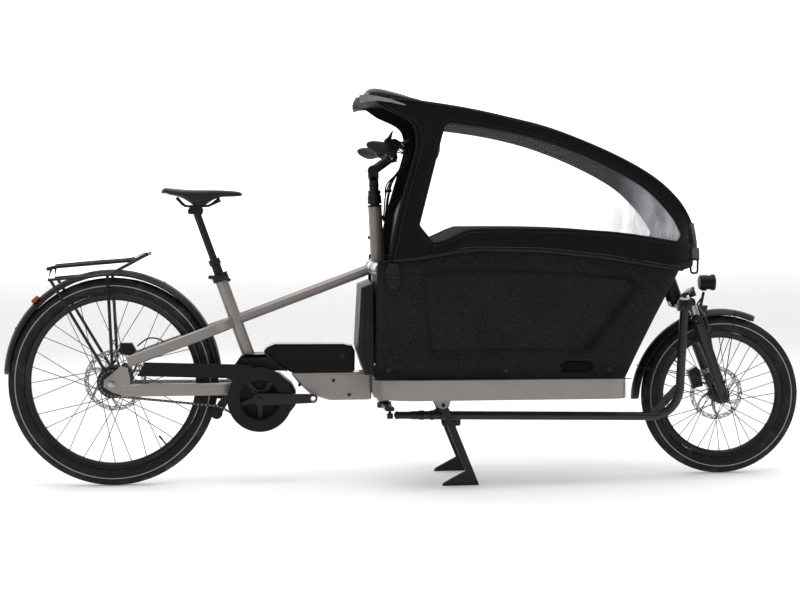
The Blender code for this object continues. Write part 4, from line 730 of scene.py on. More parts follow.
def toothed(name, body, node, centre, root, teeth, hole, look):
    """A chainring or sprocket: a toothed ring of one thickness."""
    steps = 6
    outline = []
    for k in range(teeth * steps):
        turn = 2 * math.pi * k / (teeth * steps)
        lift = max(0.0, math.cos(2 * math.pi * (k % steps) / steps)) * 0.0042
        outline.append((root + lift, turn))
    count = len(outline)
    points = []
    for y in (CHAIN_Y - 0.0012, CHAIN_Y + 0.0012):
        for scale in (0, 1):
            for radius, turn in outline:
                r = radius if scale else hole
                points.append(centre + Vector((r * math.cos(turn), y, r * math.sin(turn))))
    faces = []
    for k in range(count):
        m = (k + 1) % count
        inner, outer, inner_far, outer_far = 0, count, 2 * count, 3 * count
        faces += [[inner + k, inner + m, outer + m, outer + k],
                  [outer_far + k, outer_far + m, inner_far + m, inner_far + k],
                  [outer + k, outer + m, outer_far + m, outer_far + k],
                  [inner + m, inner + k, inner_far + k, inner_far + m]]
    return piece(name, (points, faces), look, body, 35, stands_for=[node] if node else [])


def chain_links():
    """Every link of the chain round the sprocket, the tensioner pulley and the chainring."""
    reach = 0.004
    line = arc((0, REAR.z), 0.037 + reach, 88.4, 263.4, 40)
    line += arc((PULLEY.x, PULLEY.z), 0.0195 + reach, 83.4, 59, 6)
    line += arc((CRANK.x, CRANK.z), 0.083 + reach, -121, 88.4, 70)
    path = [Vector((x, CHAIN_Y, z)) for x, z in line]
    lengths = [0.0]
    for a, b in zip(path, path[1:] + path[:1]):
        lengths.append(lengths[-1] + (b - a).length)
    count = 2 * round(lengths[-1] / 0.0127 / 2)

    def place(distance):
        distance %= lengths[-1]
        index = next(i for i in range(len(path)) if lengths[i + 1] >= distance)
        t = (distance - lengths[index]) / max(lengths[index + 1] - lengths[index], 1e-9)
        return path[index].lerp(path[(index + 1) % len(path)], t)

    pins = [place(lengths[-1] * k / count) for k in range(count)]
    plates, rollers = [], []
    for k, (a, b) in enumerate(zip(pins, pins[1:] + pins[:1])):
        ahead = (b - a).normalized()
        up = ahead.cross(Y_AXIS)
        outer = k % 2
        for side in (-1, 1):
            near = side * (0.0030 if outer else 0.0021)
            outline = []
            for end, first in ((b, -90), (a, 90)):
                for step in range(5):
                    turn = math.radians(first + 45 * step)
                    outline.append(end + ahead * math.cos(turn) * 0.0036 + up * math.sin(turn) * 0.0036)
            count_points = len(outline)
            low = [p + Y_AXIS * (near - 0.00045) for p in outline]
            high = [p + Y_AXIS * (near + 0.00045) for p in outline]
            faces = [list(range(count_points)), [count_points + i for i in reversed(range(count_points))]]
            faces += [[i, (i + 1) % count_points, count_points + (i + 1) % count_points, count_points + i]
                      for i in range(count_points)]
            plates.append((low + high, faces))
        rollers.append(lathe([(0, -0.0040), (0.0018, -0.0040), (0.0018, -0.0026), (0.0030, -0.0016),
                              (0.0030, 0.0016),
                              (0.0018, 0.0026), (0.0018, 0.0040), (0, 0.0040)], a, Y_AXIS, 8))
    piece("chain_plates", merged(*plates), SPOKE, FRAME_BODY, 40, stands_for=["chain"])
    piece("chain_rollers", merged(*rollers), ROTOR, FRAME_BODY, 40)


def drive():
    toothed("chainring_teeth", "cranks", "chainring", CRANK, 0.081, 44, 0.067, BLACK)
    toothed("sprocket_teeth", "sprocket", "rear_sprocket", REAR, 0.035, 20, 0.0190, BOLT)
    spider = []
    for k in range(5):
        turn = math.radians(54 + 72 * k)
        out = Vector((math.cos(turn), 0, math.sin(turn)))
        aside = out.cross(Y_AXIS)
        middle = CRANK + Y_AXIS * (CHAIN_Y - 0.0035)
        outline = []
        for along, wide in ((0.018, 0.011), (0.034, 0.0085), (0.060, 0.0065), (0.070, 0.0075),
                            (0.0735, 0.0050)):
            outline.append((along, wide))
        ring = [middle + out * a + aside * w for a, w in outline] + [middle + out * a - aside * w
                                                                     for a, w in outline[::-1]]
        count = len(ring)
        low, high = [p - Y_AXIS * 0.0018 for p in ring], [p + Y_AXIS * 0.0018 for p in ring]
        faces = [list(range(count)), [count + i for i in reversed(range(count))]]
        faces += [[i, (i + 1) % count, count + (i + 1) % count, count + i] for i in range(count)]
        spider.append((low + high, faces))
        spider.append(bolt_head(middle + out * 0.069 - Y_AXIS * 0.0018, -Y_AXIS, 0.0046, 0.0022))
    spider.append(ring_lathe([(0.0118, CHAIN_Y - 0.0065), (0.024, CHAIN_Y - 0.0065),
                              (0.026, CHAIN_Y - 0.004),
                              (0.026, CHAIN_Y + 0.003), (0.0118, CHAIN_Y + 0.003)], CRANK, Y_AXIS, 40))
    piece("chainring_spider", merged(*spider), BLACK, "cranks", 35, bevel=0.0005)
    chain_links()
    caps = []
    caps.append(lathe([(0.0108, 0.0), (0.0108, 0.0012), (0.0095, 0.0020), (0.0048, 0.0020),
                       (0.0046, 0.0004), (0, 0.0004)],
                      CRANK - Y_AXIS * 0.1013, -Y_AXIS, 28))
    caps.append(lathe([(0.0120, 0.0), (0.0120, 0.0014), (0.0100, 0.0020), (0, 0.0020)],
                      CRANK + Y_AXIS * 0.1010, Y_AXIS, 28))
    piece("crank_caps", merged(*caps), BOLT, "cranks", 35)
    rings = []
    for side, reach in ((-1, 0.647), (1, 0.303)):
        centre = Vector((reach, side * 0.1010, CRANK.z))
        rings.append(ring_lathe([(0.0066, -0.0002), (0.0088, -0.0002), (0.0088, 0.0005),
                                 (0.0066, 0.0005)], centre,
                                Y_AXIS * side, 28))
    piece("pedal_eye_rings", merged(*rings), STEEL, "cranks", 35)
    motor = []
    for k in range(6):
        turn = math.radians(25 + 60 * k)
        spot = CRANK + Vector((0.0705 * math.cos(turn), 0.055, 0.0705 * math.sin(turn)))
        motor.append(bolt_head(spot, Y_AXIS, 0.0034, 0.0024))
    for k in (0, 1, 5):
        turn = math.radians(-35 + 40 * k)
        spot = CRANK + Vector((0.0705 * math.cos(turn), -0.040, 0.0705 * math.sin(turn)))
        motor.append(bolt_head(spot, -Y_AXIS, 0.0034, 0.0024))
    for x, z in ((0.566, 0.240), (0.576, 0.290), (0.545, 0.338)):
        motor.append(bolt_head(Vector((x, -0.038, z)), -Y_AXIS, 0.0040, 0.0026))
    piece("motor_screws", merged(*motor), BOLT, FRAME_BODY, 35)
    seam = ring_lathe([(0.0788, -0.0006), (0.0793, 0.0), (0.0788, 0.0006), (0.0780, 0.0)],
                      CRANK + Y_AXIS * 0.012,
                      Y_AXIS, 72)
    piece("motor_joint_line", seam, SEAM_AND_SHADE, FRAME_BODY, 60)
    guard = []
    for x, z in ((0.100, 0.385), (0.250, 0.385), (0.385, 0.374), (0.560, 0.300), (0.560, 0.262)):
        guard.append(bolt_head(Vector((x, -0.0858, z)), -Y_AXIS, 0.0036, 0.0020))
    piece("guard_screws", merged(*guard), BOLT, FRAME_BODY, 35)
    lip = ring_lathe([(0.0655, -0.0875), (0.0680, -0.0880), (0.0700, -0.0860), (0.0650, -0.0855)],
                     Vector((CRANK.x, 0, 0.281)), Y_AXIS, 72)
    rim = ring_lathe([(0.1030, -0.0860), (0.1050, -0.0862), (0.1054, -0.0830), (0.1030, -0.0850)],
                     Vector((CRANK.x, 0, 0.281)), Y_AXIS, 90)
    piece("guard_lips", merged(lip, rim), PLASTIC, FRAME_BODY, 50)
    axle_nuts = []
    for side in (-1, 1):
        axle_nuts.append(lathe([(0.0115, 0), (0.0115, 0.001), (0.0085, 0.0015), (0.0085, 0.0085),
                                (0.0078, 0.0095),
                                (0.0058, 0.0095), (0.0058, 0.0140), (0.0050, 0.0150), (0, 0.0150)],
                               REAR + Y_AXIS * side * 0.0866, Y_AXIS * side, 6))
    piece("rear_axle_nuts", merged(*axle_nuts), STEEL, FRAME_BODY, 25)


wheels()
drive()


# ---------------------------------------------------------------- box
BOX_REAR_HALF, BOX_FRONT_HALF = 0.305, 0.250
RECESS_HALF, RECESS_DEPTH = 0.178, 0.052
REAR_LOW, REAR_HIGH, NOSE_LOW, NOSE_HIGH = 0.837, 0.850, 1.651, 1.827
RIM_CORNERS = [(0.850, 0.729), (0.966, 0.737), (1.143, 0.764), (1.375, 0.757), (1.586, 0.731),
               (1.827, 0.688)]


def between(line, x):
    for (x0, z0), (x1, z1) in zip(line, line[1:]):
        if x <= x1:
            return z0 + (z1 - z0) * max(x - x0, 0) / (x1 - x0)
    return line[-1][1]


def rim_z(x):
    """The rim's height, its corners softened."""
    return sum(between(RIM_CORNERS, x + step * 0.02) for step in (-2, -1, 0, 1, 2)) / 5


def foot_z(x):
    return 0.3575 - 0.0125 * (x - 0.837) / (1.651 - 0.837) + 0.0006


def box_line(level, depth, steps=110):
    """Half of the box's plan at a level from its foot to its rim, moved inwards by depth."""
    rear = REAR_LOW + (REAR_HIGH - REAR_LOW) * level
    front = NOSE_LOW + (NOSE_HIGH - NOSE_LOW) * level - depth
    corner = BOX_FRONT_HALF - RECESS_HALF - depth
    line = [(rear + (front - corner - rear) * k / steps,
             BOX_REAR_HALF - depth + (BOX_FRONT_HALF - BOX_REAR_HALF) * 0.82 * k / steps)
            for k in range(steps + 1)]
    last = line[-1][1]
    for k in range(1, 25):
        t = math.pi / 2 * k / 24
        line.append((front - corner * (1 - math.sin(t)), last - (last - RECESS_HALF) * (1 - math.cos(t))))
    for k in range(1, 6):
        line.append((front - (RECESS_DEPTH - depth) * k / 5, RECESS_HALF))
    if depth < 0.01:
        bend = 0.030
        line = [(rear + bend * (1 - math.cos(math.pi / 2 * k / 8)),
                 line[0][1] - bend * 0.72 * (1 - math.sin(math.pi / 2 * k / 8)))
                for k in range(8)] + [(x, y) for x, y in line if x > rear + bend]
        while len(line) < steps + 30 + 8:
            line.append(line[-1])
    else:
        line = line[:1] * (steps + 38 - len(line)) + line
    return line


def inside_quad(x, z, corners, soft):
    """How far inside a convex outline a point is: 0 at its edge, 1 past the soft border."""
    nearest = 1.0
    for index, ((x0, z0), (x1, z1)) in enumerate(zip(corners, corners[1:] + corners[:1])):
        run = math.hypot(x1 - x0, z1 - z0)
        gap = ((x1 - x0) * (z - z0) - (z1 - z0) * (x - x0)) / run
        nearest = min(nearest, gap / (soft[index] if isinstance(soft, tuple) else soft))
    return max(0.0, min(1.0, nearest))


PANEL = [(1.010, 0.440), (1.535, 0.437), (1.700, 0.640), (1.655, 0.672), (1.430, 0.690), (1.140, 0.706),
         (0.985, 0.690)]
PANEL_SOFT = (0.012, 0.042, 0.030, 0.014, 0.014, 0.014, 0.012)
HAND_HOLE = [(1.434, 0.372), (1.526, 0.370), (1.531, 0.392), (1.520, 0.403), (1.440, 0.405), (1.428, 0.392)]


def edge_shade(x, z):
    """How much painted shade the moulding's colour gets at a spot: in the hand hole, on the slopes of the
    panel's steps and in the gap at its rear edge, and darker towards the foot.
    """
    raised = inside_quad(x, z, PANEL, PANEL_SOFT)
    # painted shade on the slopes of the panel's steps, heavier on the front and lower steps, which face
    # away from the light
    step = 4 * raised * (1 - raised) * (0.62 if x > 1.50 or z < 0.47 else 0.40)
    # the colour darkens towards the foot
    foot = 0.35 * max(0.0, min(1.0, (0.398 - z) / 0.02))
    # painted shade in the gap at the box's rear edge
    rear = 0.8 * max(0.0, min(1.0, (REAR_LOW + 0.010 - x) / 0.006))
    return min(1.0, max(step, foot, rear, inside_quad(x, z, HAND_HOLE, 0.0035)))


def box_side(side, word):
    """One moulded foam side with a raised panel, a hand hole and a rolled rim."""
    levels = [0.0, 0.004, 0.012] + [0.03 + 0.94 * k / 46 for k in range(47)] + [0.985, 0.994, 1.0]
    top = [(0.0022, 0.0), (0.0065, 0.0028), (0.0110, 0.0038), (0.0155, 0.0028), (0.0198, 0.0)]
    columns = len(box_line(0, 0))
    outer_rows = []
    for level in levels:
        row = []
        edge = 0.003 * (1 - min(level / 0.012, 1.0)) + 0.0022 * max(0.0, (level - 0.985) / 0.015) ** 2
        for x, y in box_line(level, 0.0):
            z = foot_z(x) + (rim_z(x) - foot_z(x) - 0.0038) * level
            raised = inside_quad(x, z, PANEL, PANEL_SOFT)
            ease = raised * raised * (3 - 2 * raised)
            hole = inside_quad(x, z, HAND_HOLE, 0.0035)
            low_step = max(0.0, min(1.0, (0.425 - z) / 0.010))
            inward = 0.0090 - 0.0084 * ease + 0.012 * hole * 1.4 - 0.0015 * low_step
            if x > 1.66 + 0.1 * level:
                inward = 0.0090 - 0.0084 * ease
            row.append(Vector((x, y - inward - edge, z)))
        outer_rows.append(row)
    rim_rows = []
    for depth, lift in top:
        row = []
        for x, y in box_line(1.0, min(depth, 0.0205)):
            row.append(Vector((x, y - 0.0022, rim_z(x) - 0.0038 + lift)))
        rim_rows.append(row)
    inner_rows = []
    for level in (1.0, 0.75, 0.5, 0.25, 0.0):
        inner_rows.append([Vector((x, y - 0.0005, foot_z(x) + (rim_z(x) - foot_z(x) - 0.0040) * level))
                           for x, y in box_line(level, 0.0215)])
    rows = outer_rows + rim_rows + inner_rows
    points = [Vector((p.x, side * p.y, p.z)) for row in rows for p in row]
    faces = []
    for r in range(len(rows)):
        s = (r + 1) % len(rows)
        for c in range(columns - 1):
            faces.append([r * columns + c, r * columns + c + 1, s * columns + c + 1, s * columns + c])
    for c in (0, columns - 1):
        faces.append([r * columns + c for r in range(len(rows))])
    made = piece(f"box_{word}_moulding", (points, faces), FOAM, FRAME_BODY, 50,
                 stands_for=[f"box_side_{word}"])
    # painted shade: edge_shade's values go into a shade attribute that darkens the foam's colour
    shade = made.data.color_attributes.new("shade", "FLOAT_COLOR", "POINT")
    for index, vertex in enumerate(made.data.vertices):
        dark = edge_shade(vertex.co.x - SHIFT.x, vertex.co.z)
        shade.data[index].color = (dark, dark, dark, 1.0)
    return made


def outer_y(x, z):
    """The half width of the box's side at one spot, without its relief."""
    level = max(0.0, min(1.0, (z - foot_z(x)) / (rim_z(x) - foot_z(x))))
    rear = REAR_LOW + (REAR_HIGH - REAR_LOW) * level
    front = NOSE_LOW + (NOSE_HIGH - NOSE_LOW) * level
    share = (x - rear) / (front - 0.072 - rear)
    return BOX_REAR_HALF + (BOX_FRONT_HALF - BOX_REAR_HALF) * 0.82 * share


def box_details():
    for side, word in ((1, "left"), (-1, "right")):
        box_side(side, word)
        # painted shade: a dark sheet across the hand hole stands in for the shade inside it
        hole = [(1.4365, 0.3745), (1.5240, 0.3725), (1.5285, 0.391), (1.518, 0.4005), (1.442, 0.4025),
                (1.4305, 0.391)]
        ring = spline([(x, 0, z) for x, z in hole], 6, closed=True)
        centre = Vector((1.480, 0, 0.388))
        outer = [Vector((p.x, side * (outer_y(p.x, p.z) - 0.0125), p.z)) for p in ring]
        count = len(outer)
        inner = [Vector((centre.x, side * (outer_y(centre.x, centre.z) - 0.0145), centre.z))]
        faces = [[k, (k + 1) % count, count] for k in range(count)]
        piece(f"hand_hole_shade_{word}", (outer + inner, faces), SEAM_AND_SHADE, FRAME_BODY, 80)
        screws = []
        for x, z in ((0.880, 0.392), (1.250, 0.384), (1.585, 0.378)):
            spot = Vector((x, side * (outer_y(x, z) - 0.0036), z))
            screws.append(washer(spot, Y_AXIS * side, 0.0085, 0.0016))
            screws.append(bolt_head(spot + Y_AXIS * side * 0.0014, Y_AXIS * side, 0.0052, 0.0024))
        piece(f"box_side_screws_{word}", merged(*screws), BOLT, FRAME_BODY, 35)
        strip = []
        for k in range(60):
            x = 0.846 + (1.655 - 0.846) * k / 59
            strip.append((x, side * (outer_y(x, foot_z(x)) - 0.001), foot_z(x) + 0.0015))
        piece(f"box_foot_seal_{word}", tube(strip, 0.0016, 6), RUBBER, FRAME_BODY, 60)


def tub_details():
    """Ribs on the tub's floor and screws in its rear bulkhead."""
    ribs = []
    for k in range(9):
        x = 0.960 + 0.070 * k
        ribs.append(sweep([(x, -0.215 + 0.01 * k * 0.4, 0.3806), (x, 0.215 - 0.01 * k * 0.4, 0.3806)],
                          box_section(0.010, 0.0024, 0.6, 2)))
    piece("floor_ribs", merged(*ribs), FOAM_INNER, FRAME_BODY, 60)
    screws = []
    for y in (-0.20, -0.07, 0.07, 0.20):
        for z in (0.420, 0.690):
            screws.append(bolt_head(Vector((0.912, y, z)), Vector((-1, 0, 0)), 0.0042, 0.0026))
    piece("bulkhead_screws", merged(*screws), BOLT, FRAME_BODY, 35)


box_details()
tub_details()


# ---------------------------------------------------------------- canopy
ROOF_LINE = [(0.801, 1.254), (0.895, 1.250), (0.990, 1.240), (1.130, 1.218), (1.259, 1.190), (1.410, 1.150),
             (1.591, 1.076), (1.723, 1.003), (1.811, 0.927), (1.862, 0.856), (1.889, 0.787), (1.898, 0.711)]
REAR_EDGE = [(0.882, 0.738), (0.909, 0.861), (0.932, 0.945), (0.957, 1.028), (0.973, 1.090), (0.969, 1.140),
             (0.955, 1.163),
             (0.931, 1.179), (0.880, 1.203), (0.848, 1.226), (0.830, 1.2355)]
WINDOW_EDGE = [(0.985, 0.858), (1.021, 0.990), (1.057, 1.122), (1.067, 1.150), (1.078, 1.158),
               (1.110, 1.156),
               (1.254, 1.133), (1.404, 1.094), (1.559, 1.031), (1.696, 0.954), (1.781, 0.870),
               (1.818, 0.812),
               (1.8215, 0.798), (1.810, 0.783), (1.790, 0.7825), (1.617, 0.810), (1.423, 0.824),
               (1.180, 0.828),
               (1.130, 0.823), (1.060, 0.793), (1.034, 0.7885), (1.020, 0.793), (0.986, 0.834),
               (0.982, 0.845)]
NOSE_X = 1.898


def canopy_half(x, z):
    hem = 0.308 - 0.055 * (x - 0.85) / 0.98
    turn_in = 1.0 - 0.45 * max((x - 1.72) / (NOSE_X - 1.72), 0.0) ** 3
    return (hem - 0.045 * max(z - 0.72, 0.0) / 0.5) * turn_in


def within(x, z, ring):
    inside = False
    for (x0, z0), (x1, z1) in zip(ring, ring[1:] + ring[:1]):
        if (z0 > z) != (z1 > z) and x < x0 + (x1 - x0) * (z - z0) / (z1 - z0):
            inside = not inside
    return inside


def nearest_on(x, z, ring):
    best, spot = 1e9, (x, z)
    for (x0, z0), (x1, z1) in zip(ring, ring[1:] + ring[:1]):
        dx, dz = x1 - x0, z1 - z0
        t = max(0.0, min(1.0, ((x - x0) * dx + (z - z0) * dz) / (dx * dx + dz * dz + 1e-12)))
        px, pz = x0 + dx * t, z0 + dz * t
        gap = (px - x) ** 2 + (pz - z) ** 2
        if gap < best:
            best, spot = gap, (px, pz)
    return math.sqrt(best), spot


def flat_sheet(outline, hole, cell):
    """Quads that fill an outline round a hole, as flat points and faces."""
    low_x, high_x = min(p[0] for p in outline), max(p[0] for p in outline)
    low_z, high_z = min(p[1] for p in outline), max(p[1] for p in outline)
    nx, nz = int((high_x - low_x) / cell) + 2, int((high_z - low_z) / cell) + 2
    index, flat, faces = {}, [], []

    def corner(i, j):
        if (i, j) not in index:
            index[(i, j)] = len(flat)
            flat.append([low_x + cell * (i - 0.5), low_z + cell * (j - 0.5)])
        return index[(i, j)]

    for i in range(nx):
        for j in range(nz):
            x, z = low_x + cell * i, low_z + cell * j
            if within(x, z, outline) and not (hole and within(x, z, hole)):
                faces.append([corner(i, j), corner(i + 1, j), corner(i + 1, j + 1), corner(i, j + 1)])
    uses = {}
    for face in faces:
        for a, b in zip(face, face[1:] + face[:1]):
            uses[frozenset((a, b))] = uses.get(frozenset((a, b)), 0) + 1
    border = {point for edge, count in uses.items() if count == 1 for point in edge}
    for k in border:
        options = [nearest_on(*flat[k], outline)] + ([nearest_on(*flat[k], hole)] if hole else [])
        flat[k] = list(min(options)[1])
    return flat, faces


def thick_sheet(flat, faces, place, thickness):
    """A sheet of even thickness from flat points and a function that gives (place, inward) for each."""
    outer, inner = [], []
    for x, z in flat:
        spot, inward = place(x, z)
        outer.append(spot)
        inner.append(spot + inward * thickness)
    count = len(flat)
    uses = {}
    for face in faces:
        for a, b in zip(face, face[1:] + face[:1]):
            uses.setdefault(frozenset((a, b)), []).append((a, b))
    all_faces = list(faces) + [[count + i for i in reversed(face)] for face in faces]
    all_faces += [[b, a, count + a, count + b] for pairs in uses.values() if len(pairs) == 1
                  for a, b in pairs]
    return outer + inner, all_faces


def hem_half(x):
    """The half width of the hem, which lies on the outside of the box's rim."""
    return max(canopy_half(x, rim_z(x)), outer_y(min(x, 1.76), rim_z(x)) + 0.0024)


def crease(x, z, side, strength=1.0):
    """Soft waves of the cloth: long tension folds towards the corners and small uneven ones."""
    long_fold = noise.noise(Vector((x * 7.0 + z * 4.0, z * 16.0 - x * 3.0, side * 3.1)))
    small = noise.noise(Vector((x * 26.0, z * 30.0, side * 7.7)))
    return strength * (0.0062 * long_fold + 0.0020 * small)


BINDING_RADIUS, BINDING_OUT = 0.0019, 0.0004
STITCH_INSET, STITCH_DASH, STITCH_PITCH = 0.0105, 0.0032, 0.0048


def canopy_side(side, word):
    roof_under = [(x, z - 0.016) for x, z in [(0.838, 1.2525)] + ROOF_LINE[1:]]
    roof_under = [(p.x, p.z) for p in spline([(x, 0, z) for x, z in roof_under], 6)]
    hem = [(x, rim_z(x) - 0.0035) for x in [1.815 - 0.03 * k for k in range(30)] if x > 0.93]
    rear = [(p.x, p.z) for p in spline([(x, 0, z) for x, z in REAR_EDGE], 6)]
    outline = rear + roof_under[:-1] + [(1.880, 0.722), (1.858, 0.700)] + hem
    opening = [(p.x, p.z) for p in spline([(x, 0, z) for x, z in WINDOW_EDGE], 5, closed=True)]
    flat, faces = flat_sheet(outline, opening, 0.0085)

    def place(x, z):
        gap = min(nearest_on(x, z, opening)[0], nearest_on(x, z, outline)[0])
        free = min(gap / 0.035, 1.0)
        y = canopy_half(x, z) + crease(x, z, side, free * 1.25) - 0.0012
        near_hem = max(0.0, min(1.0, 1 - (z - rim_z(x)) / 0.026))
        y += (hem_half(x) - canopy_half(x, rim_z(x))) * near_hem
        gather = max(0.0, min(1.0, (x - 1.70) / 0.12)) * max(0.0, min(1.0, (0.95 - z) / 0.12))
        over_hem = z - rim_z(x)
        pucker = max(0.0, 1 - over_hem / 0.030) * (0.35 + 0.65 * max(0.0, min(1.0, (x - 1.35) / 0.35)))
        wave = 0.0013 * pucker * math.sin(x * 520.0 + 3.0 * math.sin(x * 37.0))
        y += wave if over_hem > 0.004 else 0
        y += gather * 0.0026 * math.sin(z * 210.0 + 2.0 * math.sin(x * 40.0)) * free
        return Vector((x, side * y, z)), Vector((0, -side, 0))

    cloth = piece(f"canopy_{word}_cloth", thick_sheet(flat, faces, place, 0.0012), CANVAS, FRAME_BODY, 60,
                  stands_for=[f"canopy_side_{word}"])
    pane, pane_faces = flat_sheet(opening, None, 0.012)

    def film_place(x, z):
        free = min(nearest_on(x, z, opening)[0] / 0.05, 1.0)
        wave = 0.0030 * noise.noise(Vector((x * 5.0 + 2.0, z * 8.0, side * 1.3))) * free
        return Vector((x, side * (canopy_half(x, z) - 0.0016 + wave - 0.003 * free),
                       z)), Vector((0, -side, 0))

    film = piece(f"window_{word}_film", thick_sheet(pane, pane_faces, film_place, 0.0006), FILM,
                 FRAME_BODY, 70,
                 stands_for=[f"window_{word}"])
    binding = sweep([(x, side * (canopy_half(x, z) + BINDING_OUT - 0.0012), z) for x, z in opening],
                         round_section(BINDING_RADIUS, 8), closed=True)
    piece(f"window_{word}_binding", merged(binding), PIPING, FRAME_BODY, 60)
    stitches = []
    ring = list(opening)
    middle_x = sum(x for x, _ in ring) / len(ring)
    middle_z = sum(z for _, z in ring) / len(ring)
    walked = 0.0
    for (x0, z0), (x1, z1) in zip(ring, ring[1:] + ring[:1]):
        run = math.hypot(x1 - x0, z1 - z0)
        nx, nz = (z1 - z0) / run, -(x1 - x0) / run
        if (x0 - middle_x) * nx + (z0 - middle_z) * nz < 0:
            nx, nz = -nx, -nz
        place_along = (STITCH_PITCH - walked % STITCH_PITCH) % STITCH_PITCH
        while place_along < run:
            t = place_along / run
            x = x0 + (x1 - x0) * t + nx * STITCH_INSET
            z = z0 + (z1 - z0) * t + nz * STITCH_INSET
            if within(x, z, outline):
                start = Vector((x, side * (canopy_half(x, z) - 0.0004), z))
                ahead = Vector(((x1 - x0) / run, 0, (z1 - z0) / run)) * STITCH_DASH
                stitches.append(sweep([start, start + ahead], round_section(0.00045, 4)))
            place_along += STITCH_PITCH
        walked += run
    piece(f"window_{word}_stitching", merged(*stitches), THREAD, FRAME_BODY, 60)
    hem_line = [(x, side * (hem_half(x) - 0.0004), rim_z(x) - 0.0010) for x in
                [0.900 + 0.02 * k for k in range(47)] if x < 1.83]
    piece(f"canopy_{word}_hem", sweep(hem_line, box_section(0.0030, 0.0085, 0.9, 3), side=Y_AXIS), PIPING,
          FRAME_BODY, 60)
    ticks = []
    for k in range(150):
        x = 1.10 + 0.0048 * k
        if x < 1.815:
            z = rim_z(x) + 0.0085
            spot = Vector((x, side * (canopy_half(x, z) + (hem_half(x) - canopy_half(x, rim_z(x))) * 0.67
                                      + 0.0004), z))
            ticks.append(sweep([spot, spot + Vector((0.0026, 0, rim_z(x + 0.0026) - rim_z(x)))],
                               round_section(0.0008, 4)))
    piece(f"canopy_{word}_hem_stitching", merged(*ticks), GREY_STRAP, FRAME_BODY, 60)
    rear_line = [(x + 0.0045, side * (canopy_half(x, z) - 0.0012), z) for x, z in rear]
    roof_line = [(p.x, side * (canopy_half(p.x, p.z) + 0.0003), p.z) for p in
                 spline([(x, 0, z - 0.0125) for x, z in ROOF_LINE[1:-1]], 6)]
    piece(f"canopy_{word}_piping", merged(tube(rear_line, 0.0022, 8), tube(roof_line, 0.0034, 8)), PIPING,
          FRAME_BODY, 60)


def canopy_roof():
    line = spline([(x, 0, z) for x, z in ROOF_LINE], 10)
    columns = 40
    flat = [(i, k / columns * 2 - 1) for i in range(len(line)) for k in range(columns + 1)]
    faces = [[i * (columns + 1) + k, i * (columns + 1) + k + 1, (i + 1) * (columns + 1) + k + 1,
              (i + 1) * (columns + 1) + k]
             for i in range(len(line) - 1) for k in range(columns)]

    def place(i, share):
        here = line[i]
        ahead = (line[min(i + 1, len(line) - 1)] - line[max(i - 1, 0)]).normalized()
        normal = Vector((-ahead.z, 0, ahead.x))
        half = canopy_half(here.x, here.z) + 0.0015
        edge = 0.0145 * abs(share) ** 2.6
        sag = 0.0022 * math.sin(here.x * 31.0) * (1 - share**2) - 0.0048 * (0.5 + 0.5 * noise.noise(
            Vector((here.x * 9, share * 3, here.z * 5))))
        return here + Y_AXIS * share * half - normal * edge + normal * min(sag, 0.0), -normal

    cloth = piece("canopy_roof_cloth", thick_sheet(flat, faces, place, 0.0014), CANVAS, FRAME_BODY, 60,
                  stands_for=["canopy_roof"])
    round(surface_area(flat, faces, place), 3)
    wall = [(0.9190, 0.745), (0.934, 0.880), (0.999, 1.000), (1.046, 1.060), (1.052, 1.2215)]
    wall = rounded([(x + 0.003, 0, z) for x, z in wall], 0.02, 4)
    wall = [start.lerp(end, k / 5) for start, end in zip(wall, wall[1:]) for k in range(5)] + wall[-1:]
    across = 30
    flat = [(i, k / across * 2 - 1) for i in range(len(wall)) for k in range(across + 1)]
    faces = [[i * (across + 1) + k, i * (across + 1) + k + 1, (i + 1) * (across + 1) + k + 1,
              (i + 1) * (across + 1) + k]
             for i in range(len(wall) - 1) for k in range(across)]

    def wall_place(i, share):
        here = wall[i]
        half = canopy_half(here.x, here.z) - 0.0075
        wave = 0.0028 * noise.noise(Vector((share * 4.0, here.z * 9.0, 4.0)))
        return here + Y_AXIS * share * half + Vector((wave, 0, 0)), Vector((1, 0, 0))

    rear = piece("canopy_rear_cloth", thick_sheet(flat, faces, wall_place, 0.0012), CANVAS, FRAME_BODY, 60)
    round(surface_area(flat, faces, wall_place), 3)
    seams = []
    for share in (-0.52, 0.52):
        seams.append(sweep([place(i, share)[0] + (place(i, share)[1] * -0.0004)
                            for i in range(4, len(line) - 1)],
                           box_section(0.006, 0.0012, 0.8, 2), side=Y_AXIS))
    for i in (0, 30, 62):
        seams.append(sweep([place(i, k / 20 * 2 - 1)[0] + place(i, k / 20 * 2 - 1)[1] * -0.0003
                            for k in range(1, 20)],
                           box_section(0.007, 0.0016, 0.8, 2)))
    piece("canopy_roof_seams", merged(*seams), PIPING, FRAME_BODY, 60)
    return place, line


def surface_area(flat, faces, place):
    total = 0.0
    for face in faces:
        a, b, c, d = (place(*flat[i])[0] for i in face)
        total += (b - a).cross(c - a).length / 2 + (c - a).cross(d - a).length / 2
    return total


